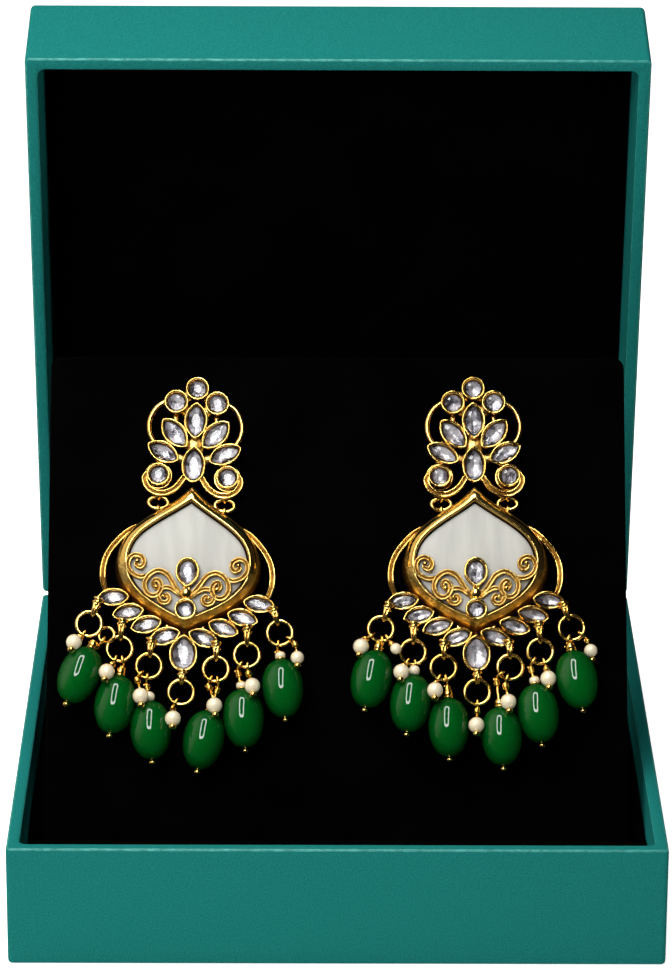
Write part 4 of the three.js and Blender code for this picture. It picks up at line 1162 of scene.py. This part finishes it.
def make_world(look):
    """A white studio to the camera, and to the metal a dim room that is bright high on its left."""
    world = bpy.data.worlds.new("studio")
    bpy.context.scene.world = world
    world.use_nodes = True
    nodes, links = world.node_tree.nodes, world.node_tree.links
    nodes.clear()
    out, mix, path = (nodes.new("ShaderNode" + kind) for kind in ("OutputWorld", "MixShader", "LightPath"))
    seen, lit = nodes.new("ShaderNodeBackground"), nodes.new("ShaderNodeBackground")
    seen.inputs["Color"].default_value = (1, 1, 1, 1)
    where, dot, ramp = (nodes.new("ShaderNode" + kind) for kind in ("TexCoord", "VectorMath", "ValToRGB"))
    dot.operation = "DOT_PRODUCT"
    dot.inputs[1].default_value = BRIGHT_SIDE
    links.new(where.outputs["Generated"], dot.inputs[0])
    links.new(dot.outputs["Value"], ramp.inputs["Fac"])
    stops = ramp.color_ramp.elements
    stops[0].position, stops[0].color = ROOM_DARK
    stops[1].position, stops[1].color = ROOM_BRIGHT
    stops.new(ROOM_MIDDLE[0]).color = ROOM_MIDDLE[1]
    links.new(ramp.outputs["Color"], lit.inputs["Color"])
    lit.inputs["Strength"].default_value = look.sky
    links.new(path.outputs["Is Camera Ray"], mix.inputs["Fac"])
    links.new(lit.outputs[0], mix.inputs[1])
    links.new(seen.outputs[0], mix.inputs[2])
    links.new(mix.outputs[0], out.inputs["Surface"])


def make_glint(look):
    """A bright rectangular frame overhead that only polished surfaces see, as a ring-shaped highlight."""
    material = bpy.data.materials.new("Glint")
    material.use_nodes = True
    nodes, links = material.node_tree.nodes, material.node_tree.links
    nodes.clear()
    out, glow = nodes.new("ShaderNodeOutputMaterial"), nodes.new("ShaderNodeEmission")
    glow.inputs["Strength"].default_value = look.glint
    links.new(glow.outputs[0], out.inputs["Surface"])
    centre = np.array(GLINT_CENTRE)
    facing = GLINT_TARGET - centre
    facing /= np.linalg.norm(facing)
    across = np.cross(facing, GLINT_LENGTHWAYS)
    across /= np.linalg.norm(across)
    lengthways = np.cross(across, facing)
    edges = [rounded_outline(2 * half_x, 2 * half_y, corner) for half_x, half_y, corner in GLINT_EDGES]
    points = [centre + x * across + y * lengthways for x, y in np.vstack(edges)]
    count = len(edges[0])
    faces = [(i, (i + 1) % count, count + (i + 1) % count, count + i) for i in range(count)]
    mesh = bpy.data.meshes.new("glint")
    mesh.from_pydata([tuple(point * MM) for point in points], [], faces)
    mesh.materials.append(material)
    glint = bpy.data.objects.new("glint", mesh)
    bpy.context.scene.collection.objects.link(glint)
    glint.visible_camera = glint.visible_diffuse = glint.visible_shadow = False


class BoxedEarringsSettings(bpy.types.PropertyGroup):
    """Colours and light that a user may change."""
    gold_colour: FloatVectorProperty(name="Gold", description="Colour of the gold plate", subtype="COLOR",
                                     default=(1.0, 0.7, 0.22), min=0, max=1)
    green_colour: FloatVectorProperty(name="Green stone", description="Colour of the oval beads",
                                      subtype="COLOR", default=(0.0, 0.088, 0.009), min=0, max=1)
    pearl_colour: FloatVectorProperty(name="Pearl", description="Colour of the pearls", subtype="COLOR",
                                      default=(0.9, 0.79, 0.56), min=0, max=1)
    inlay_colour: FloatVectorProperty(name="Inlay", description="Colour of the mother-of-pearl",
                                      subtype="COLOR", default=(0.57, 0.565, 0.52), min=0, max=1)
    board_colour: FloatVectorProperty(name="Board", description="Colour of the leatherette", subtype="COLOR",
                                      default=(0.0135, 0.2, 0.174), min=0, max=1)


class StudioSettings(bpy.types.PropertyGroup):
    """The studio's light."""
    sky: FloatProperty(name="Sky", description="Strength of the soft surrounding light", default=0.85, min=0)
    key: FloatProperty(name="Key", description="Power of the main soft light", default=3.0, min=0,
                       unit="POWER")
    glint: FloatProperty(name="Glint", description="Strength of the frame that polished parts reflect",
                         default=15.0, min=0)
    floor: FloatProperty(name="Floor", description="Half width of the floor", default=1.5, min=0.1,
                         unit="LENGTH")


SIDES = ("left", "right")


class MakeBox(bpy.types.Operator):
    """Builds the board tray, the lid, the lid's pad and the spine between them."""
    bl_idname = "earrings.make_box"
    bl_label = "Box"

    def execute(self, context):
        make_tray()
        make_lid()
        make_lid_pad()
        make_spine()
        return {"FINISHED"}


class MakeCard(bpy.types.Operator):
    """Builds the velvet block in the tray and the tilted card."""
    bl_idname = "earrings.make_card"
    bl_label = "Card"

    def execute(self, context):
        make_bed()
        make_card()
        for side in SIDES:
            make_nut(side)
        return {"FINISHED"}


class MakeStuds(bpy.types.Operator):
    """Builds the upper cluster of set stones of each earring."""
    bl_idname = "earrings.make_studs"
    bl_label = "Studs"

    def execute(self, context):
        for side in SIDES:
            make_stud(side)
        return {"FINISHED"}


class MakeMedallions(bpy.types.Operator):
    """Builds each medallion with its scrollwork, crescents and fringe of stones, and its inlay."""
    bl_idname = "earrings.make_medallions"
    bl_label = "Medallions"

    def execute(self, context):
        for side in SIDES:
            make_medallion(side)
            make_inlay(side)
        return {"FINISHED"}


class MakeRings(bpy.types.Operator):
    """Builds the links over each medallion and the jump rings under it."""
    bl_idname = "earrings.make_rings"
    bl_label = "Rings"

    def execute(self, context):
        for side in SIDES:
            for name, way in (("outer", -1), ("inner", 1)):
                make_link(side, name, way if side == "left" else -way)
            for number in range(2 * len(RING_SEATS) + 1):
                make_ring(side, number)
        return {"FINISHED"}


class MakeDrops(bpy.types.Operator):
    """Builds the green beads and the pearls on their pins."""
    bl_idname = "earrings.make_drops"
    bl_label = "Drops"

    def execute(self, context):
        for side in SIDES:
            for number, row in enumerate(GREEN_DROPS[side]):
                make_green_drop(side, number, row)
            for number, row in enumerate(PEARL_DROPS[side]):
                make_pearl_drop(side, number, row)
        return {"FINISHED"}


class MakeStage(bpy.types.Operator):
    """Sets the floor, the soft lights, the sky and the camera."""
    bl_idname = "earrings.make_stage"
    bl_label = "Stage"

    def execute(self, context):
        look = context.scene.boxed_earrings_studio
        make_floor(look.floor)
        for name, centre, size, share in SOFTBOXES:
            add_softbox(name, centre, *size, share * look.key)
        make_glint(look)
        make_world(look)
        context.scene.view_settings.view_transform = "Standard"
        make_camera()
        return {"FINISHED"}


class EarringsPanel(bpy.types.Panel):
    """The add-on's panel in the sidebar of the 3D view."""
    bl_idname = "EARRINGS_PT_panel"
    bl_label = "Boxed Earrings"
    bl_space_type = "VIEW_3D"
    bl_region_type = "UI"
    bl_category = "Earrings"

    def draw(self, context):
        for group in (context.scene.boxed_earrings, context.scene.boxed_earrings_studio):
            for name in group.__annotations__:
                self.layout.prop(group, name)
        for maker in MAKERS:
            self.layout.operator(maker.bl_idname)


MAKERS = (MakeBox, MakeCard, MakeStuds, MakeMedallions, MakeRings, MakeDrops, MakeStage)
CLASSES = (BoxedEarringsSettings, StudioSettings, *MAKERS, EarringsPanel)


def register():
    for one in CLASSES:
        bpy.utils.register_class(one)
    bpy.types.Scene.boxed_earrings = PointerProperty(type=BoxedEarringsSettings)
    bpy.types.Scene.boxed_earrings_studio = PointerProperty(type=StudioSettings)


def unregister():
    del bpy.types.Scene.boxed_earrings_studio
    del bpy.types.Scene.boxed_earrings
    for one in reversed(CLASSES):
        bpy.utils.unregister_class(one)


def main():
    register()
    for maker in MAKERS:
        group, name = maker.bl_idname.split(".")
        getattr(getattr(bpy.ops, group), name)()


if __name__ == "__main__":
    main()
